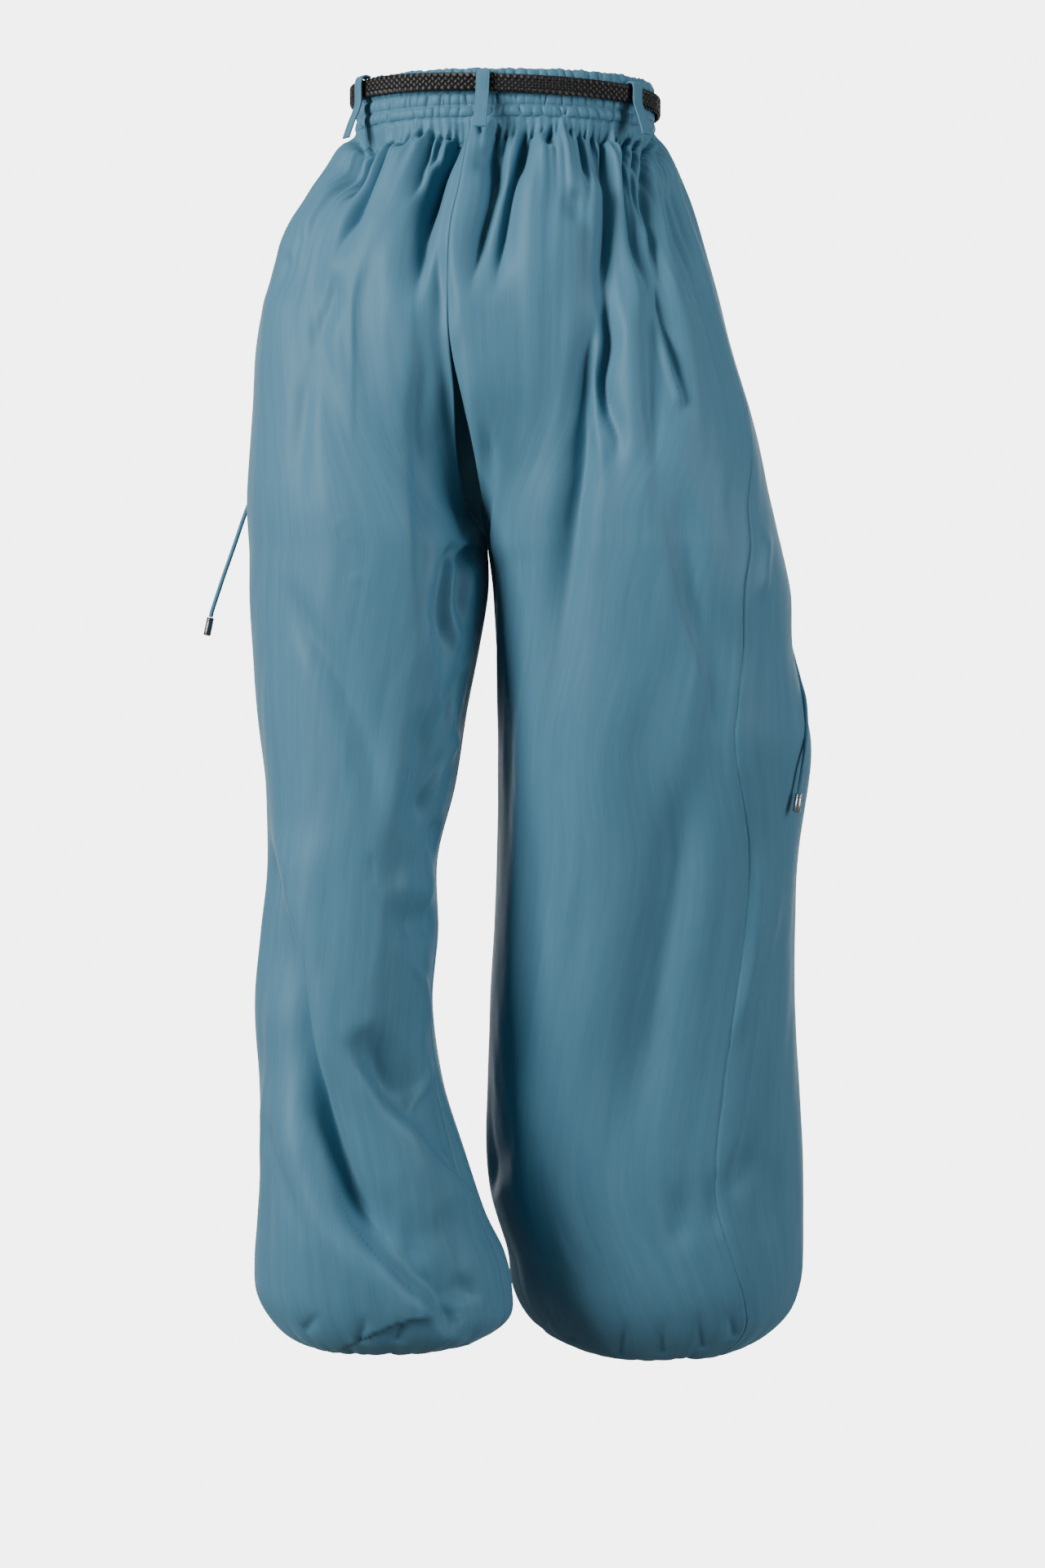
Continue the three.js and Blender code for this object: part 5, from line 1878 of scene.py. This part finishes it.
@dataclass(frozen=True)
class BraidedBelt:
    """Leather belt of flat strands, each over one and under the next, with a plain tip and root."""

    ring: WaistRing
    line: BeltLine
    thick: float = 4.0
    stand_off: float = 2.6
    tail: float = 26.0
    start: float = 280.9
    lap_gap: float = 1.0
    lap: Pair = (349.0, 357.0)
    strands: int = 6
    strand_wide: float = 3.5
    strand_thick: float = 1.25
    wave: float = 0.95
    repeat: float = 31.0
    steps: int = 34
    turning: float = 0.6
    turn_share: float = 0.35
    turn_sharp: float = 1.6
    turn_room: float = 0.06
    plain_root: float = 16.0
    plain_tip: float = 30.0
    plain_overlap: float = 6.0
    tip_round: float = 7.0
    core_thick: float = 0.9

    def route(self) -> tuple[Array, Array, Array]:
        """Way of the strap round the waist, its tail over its start.

        Returns:
            Distances along it, points of its inside face's middle, and ways out.
        """
        turn = np.linspace(0, 360 + self.tail, 800)
        out = self.stand_off + (self.thick + self.lap_gap) * smoothstep(turn, *self.lap)
        direction = self.start - turn
        outward, _ = self.ring.ways(direction)
        points = self.ring.point(direction, out, 0.0)
        points[:, 2] = self.line.height(points[:, 0])
        return distances(points), points, outward

    def swing(self, phase: Array) -> Array:
        """Place of a strand between the belt's edges, from -1 to 1, with rounded turns at both."""
        straight = 1 - 4 * np.abs(phase - 0.5)
        room = 1 - self.turn_room
        soft = np.tanh(straight / room * self.turn_sharp) / math.tanh(self.turn_sharp / room)
        curved = np.sin(straight * np.pi / 2)
        turned = self.turn_share * soft + (1 - self.turn_share) * curved
        swing = np.where(np.abs(straight) > self.turning, turned, straight)
        return np.sin(swing * np.pi / 2) * self.turn_share + swing * (1 - self.turn_share)

    def height(self, phase: Array) -> Array:
        """Rise of a strand over the belt's middle: over one strand and under the next, from -1 to 1."""
        marks = np.arange(2 * self.strands + 1)
        signs = np.where(marks < self.strands, (-1.0) ** marks, -((-1.0) ** marks))
        signs[[0, self.strands, -1]] = 0.0
        place = phase * 2 * self.strands
        low = np.clip(np.floor(place).astype(int), 0, 2 * self.strands - 1)
        t = (1 - np.cos(np.pi * (place - low))) / 2
        return signs[low] * (1 - t) + signs[low + 1] * t

    def make(self, finishes: Finishes) -> Object:
        """Makes the braid with its plain ends.

        Args:
            finishes: The materials.

        Returns:
            The belt strap.
        """
        far, points, outward = self.route()
        up = np.array((0.0, 0.0, 1.0))
        work = MeshWork()

        def lay(distance: Array, shape: Array) -> None:
            out = unit(rows_at(distance, far, outward))
            middle = rows_at(distance, far, points) + out * self.thick / 2
            work.add_bar(middle, np.tile(up, (len(distance), 1)), out, shape)

        first = self.plain_root - self.plain_overlap
        last = far[-1] - self.plain_tip + self.plain_overlap
        distance = np.linspace(first, last, int((last - first) / self.repeat * self.steps))
        out = unit(rows_at(distance, far, outward))
        half = (self.line.tall - self.strand_wide) / 2 + 0.15
        outline = round_outline(self.strand_wide, self.strand_thick, 0.5, 2)
        for strand in range(self.strands):
            phase = (distance / self.repeat + strand / self.strands) % 1.0
            rise = self.thick / 2 + self.wave * self.height(phase)
            sideways = up * (half * self.swing(phase))[:, None]
            path = rows_at(distance, far, points) + sideways + out * rise[:, None]
            run = unit(np.gradient(path, axis=0))
            wide = unit(np.cross(out, run))
            work.add_bar(path, wide, unit(np.cross(run, wide)), outline)
        lay(np.linspace(2, far[-1] - 2, 500), round_outline(self.line.tall - 3.0, self.core_thick, 0.3, 1))
        plain = round_outline(self.line.tall, self.thick - 0.6, 0.9)
        lay(np.linspace(0.0, self.plain_root, 40), plain)
        tip = np.linspace(far[-1] - self.plain_tip, far[-1], 40)
        from_tip = np.clip((far[-1] - tip) / self.tip_round, 0, 1)
        narrow = np.sqrt(np.clip(1 - (1 - from_tip) ** 2, 0.02, 1))
        lay(tip, plain * np.stack([narrow, np.ones(len(tip))], -1)[:, None, :])
        piece = work.build("belt", [finishes.leather])
        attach(piece, "root")
        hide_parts("belt_strap")
        LOG.info("belt: %.0f mm long", far[-1])
        return piece


@dataclass(frozen=True)
class Buckle:
    """Plain rounded frame with one prong, at the centre front."""

    ring: WaistRing
    belt: BeltLine
    long: float = 24.0
    tall: float = 21.0
    rail: float = 2.6
    thick: float = 2.4
    lean: float = 11.0
    stand_off: float = 6.2
    direction: float = 289.0
    prong: float = 1.1
    prong_out: float = 5.0
    prong_over: float = 6.5
    prong_steps: int = 14

    def ways(self) -> tuple[Array, Array, Array, Array]:
        """Middle of the buckle and its ways along, up and out."""
        turn = np.array(self.direction)
        outward, along = self.ring.ways(turn)
        middle = self.ring.point(turn, self.stand_off, 0.0)
        middle[2] = self.belt.height(middle[0])
        return middle, along, unit(np.cross(outward, along)), outward

    def make(self, finishes: Finishes) -> list[Object]:
        """Makes the frame and the prong.

        Args:
            finishes: The materials.

        Returns:
            Both pieces.
        """
        middle, along, up, out = self.ways()
        slope = math.radians(-self.lean)
        tilted = along * math.cos(slope) - out * math.sin(slope)
        raised = along * math.sin(slope) + out * math.cos(slope)
        outline = round_outline(self.long - self.rail, self.tall - self.rail, 3.0, 6)
        path = middle + outline[:, :1] * tilted + outline[:, 1:] * up
        run = unit(np.roll(path, -1, 0) - np.roll(path, 1, 0))
        over = np.tile(raised, (len(path), 1))
        work = MeshWork()
        rail = round_outline(self.rail, self.thick, 1.0)
        work.add_bar(path, np.cross(run, over), over, rail, closed=True)
        rim = work.build("buckle_rim", [finishes.steel])
        length = self.long / 2 + self.prong_over
        reach = np.linspace(-length / 2, length / 2, self.prong_steps)
        line = middle + (self.long / 2 + 0.5 - length / 2 + reach)[:, None] * along + self.prong_out * out
        taper = np.sqrt(np.clip(1 - (np.abs(reach) / (length / 2 + 0.15)) ** 10, 0.05, 1))
        work = MeshWork()
        work.add_bar(line, *(np.tile(way, (self.prong_steps, 1)) for way in (up, out)),
                     unit_circle(12)[None] * self.prong * taper[:, None, None])
        pin = work.build("buckle_pin", [finishes.steel])
        for piece, node in ((rim, "buckle_frame"), (pin, "buckle_prong")):
            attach(piece, "root")
            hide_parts(node)
        return [rim, pin]


@dataclass
class AnkleCasings:
    """Elastic casings round the ankles, inside the turned-under legs."""

    form: GarmentForm
    radius: float = 46.0
    tall: float = 24.0
    wall: float = 2.0

    def make_one(self, leg: Leg, finishes: Finishes) -> Object:
        """Makes one casing.

        Args:
            leg: The leg.
            finishes: The materials.

        Returns:
            The casing.
        """
        foot = {name: column[-1] for name, column in self.form.tables[leg].items()}
        centre = np.array([(foot["outer"] + foot["inner"]) / 2, (foot["back"] + foot["front"]) / 2])
        angle = np.linspace(0, 2 * math.pi, 361)[:-1][None, :]
        share = np.linspace(0, 1, 15)[:, None]
        ripple = np.abs(np.sin(9 * angle + 0.6 * np.sin(5 * angle))) ** 0.7
        puff = np.sin(np.pi * share) ** 0.6
        radius = self.radius - 0.5 + puff * (0.4 + 1.1 * ripple) + 0.3 * (1 - puff) * ripple
        z = foot["z"] - 0.3 - self.tall * share + 0 * angle

        def wall(radii: Array) -> Array:
            return np.stack([centre[0] + radii * np.cos(angle), centre[1] + radii * np.sin(angle), z], -1)

        work = MeshWork()
        place = np.stack([self.radius * angle + 0 * z, z, 0 * z], -1)
        work.add_shell(wall(radius), wall(self.radius - self.wall - 0.6 + 0 * z), place, ring=True)
        piece = work.build(f"cuff_{leg.value}", [finishes.satin])
        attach(piece, "root")
        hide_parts(f"casing_{leg.value}")
        return piece

    def make(self, finishes: Finishes) -> list[Object]:
        """Makes both casings."""
        return [self.make_one(leg, finishes) for leg in Leg]


@dataclass(frozen=True)
class Studio:
    """Round pale room with a coved floor, and soft lights.

    The room shows to the camera alone, so that its walls' brightness doesn't flatten the folds.
    """

    floor: float = -1090.0
    radius: float = 9000.0
    bend: float = 2500.0
    tall: float = 7000.0
    dome: float = 4000.0
    middle: float = 0.01
    sides: int = 96
    air: float = 0.17
    air_colour: tuple[float, float, float, float] = (0.93, 0.97, 1.0, 1.0)

    def room(self, finish: Material) -> None:
        """Makes the floor, cove, wall and dome as one surface of revolution."""
        turns = np.radians(np.linspace(0, 90, 20))
        rows = [(self.middle, self.floor), (1500.0, self.floor), (4000.0, self.floor)]
        rows += [(self.radius - self.bend + self.bend * math.sin(t),
                  self.floor + self.bend - self.bend * math.cos(t)) for t in turns]
        rows += [(self.radius * math.cos(t), self.tall + self.dome * math.sin(t)) for t in turns[:-1]]
        rows += [(self.middle, self.tall + self.dome)]
        grid = np.array([[(r * x, r * y, z) for x, y in unit_circle(self.sides)] for r, z in rows])
        numbers = np.arange(grid.shape[0] * grid.shape[1]).reshape(grid.shape[:2])
        numbers = np.hstack([numbers, numbers[:, :1]])
        work = MeshWork()
        work.add(grid, [grid_quads(numbers)])
        room = work.build("studio_room", [finish])
        room.visible_diffuse = False
        room.visible_glossy = False
        room.visible_shadow = False
        room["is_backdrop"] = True

    def lamp(self, name: str, place: Triple, aim: Triple,
             size: Pair, power: float, colour: Triple) -> None:
        """Hangs one soft box.

        Args:
            name: Its name.
            place: Where it hangs, in metres.
            aim: What it points at.
            size: Its width and height.
            power: Its power in watts.
            colour: Its colour.
        """
        light = bpy.data.lights.new(name, "AREA")
        light.shape = "RECTANGLE"
        light.size, light.size_y = size
        light.energy = power
        light.color = colour
        lamp = bpy.data.objects.new(name, light)
        lamp.location = place
        lamp.visible_camera = False
        lamp.rotation_euler = (Vector(aim) - Vector(place)).to_track_quat("-Z", "Y").to_euler()
        bpy.context.scene.collection.objects.link(lamp)

    def make(self, finish: Material) -> None:
        """Makes the room, the lights and the soft surrounding light."""
        self.room(finish)
        self.lamp("key", (-2.6, -2.1, 0.8), (0, 0, -0.6), (1.2, 2.4), 195, (1.0, 0.99, 0.97))
        self.lamp("fill", (3.0, -1.5, 0.0), (0, 0, -0.6), (1.3, 2.4), 74, (0.97, 0.99, 1.0))
        self.lamp("top", (0.0, -0.4, 2.6), (0, 0, -0.6), (1.4, 1.4), 12, (1.0, 1.0, 1.0))
        self.lamp("wrap", (0.0, 3.2, -0.2), (0, 0, -0.5), (4.0, 3.0), 80, (1.0, 1.0, 1.0))
        world = bpy.data.worlds.new("studio_air")
        world.use_nodes = True
        background = world.node_tree.nodes["Background"]
        background.inputs["Color"].default_value = self.air_colour
        background.inputs["Strength"].default_value = self.air
        bpy.context.scene.world = world


def main() -> None:
    """Builds the scene piece by piece."""
    logging.basicConfig(level=logging.INFO, format="%(message)s")
    finishes = Finishes.make()
    ring = WaistRing()
    belt = BeltLine()
    form = GarmentForm()
    view = Viewpoint()
    view.make()
    Drawstrings().make(ring, finishes)
    panels = LegPanels(form, view)
    panels.make(finishes)
    PocketBags(panels).make(finishes)
    Waistband(ring).make(finishes)
    BeltLoops(ring, belt).make(finishes)
    BraidedBelt(ring, belt).make(finishes)
    Buckle(ring, belt).make(finishes)
    AnkleCasings(form).make(finishes)
    Studio().make(finishes.studio)
    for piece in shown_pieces():
        LOG.info("piece %s", piece.name)


if __name__ == "__main__":
    main()
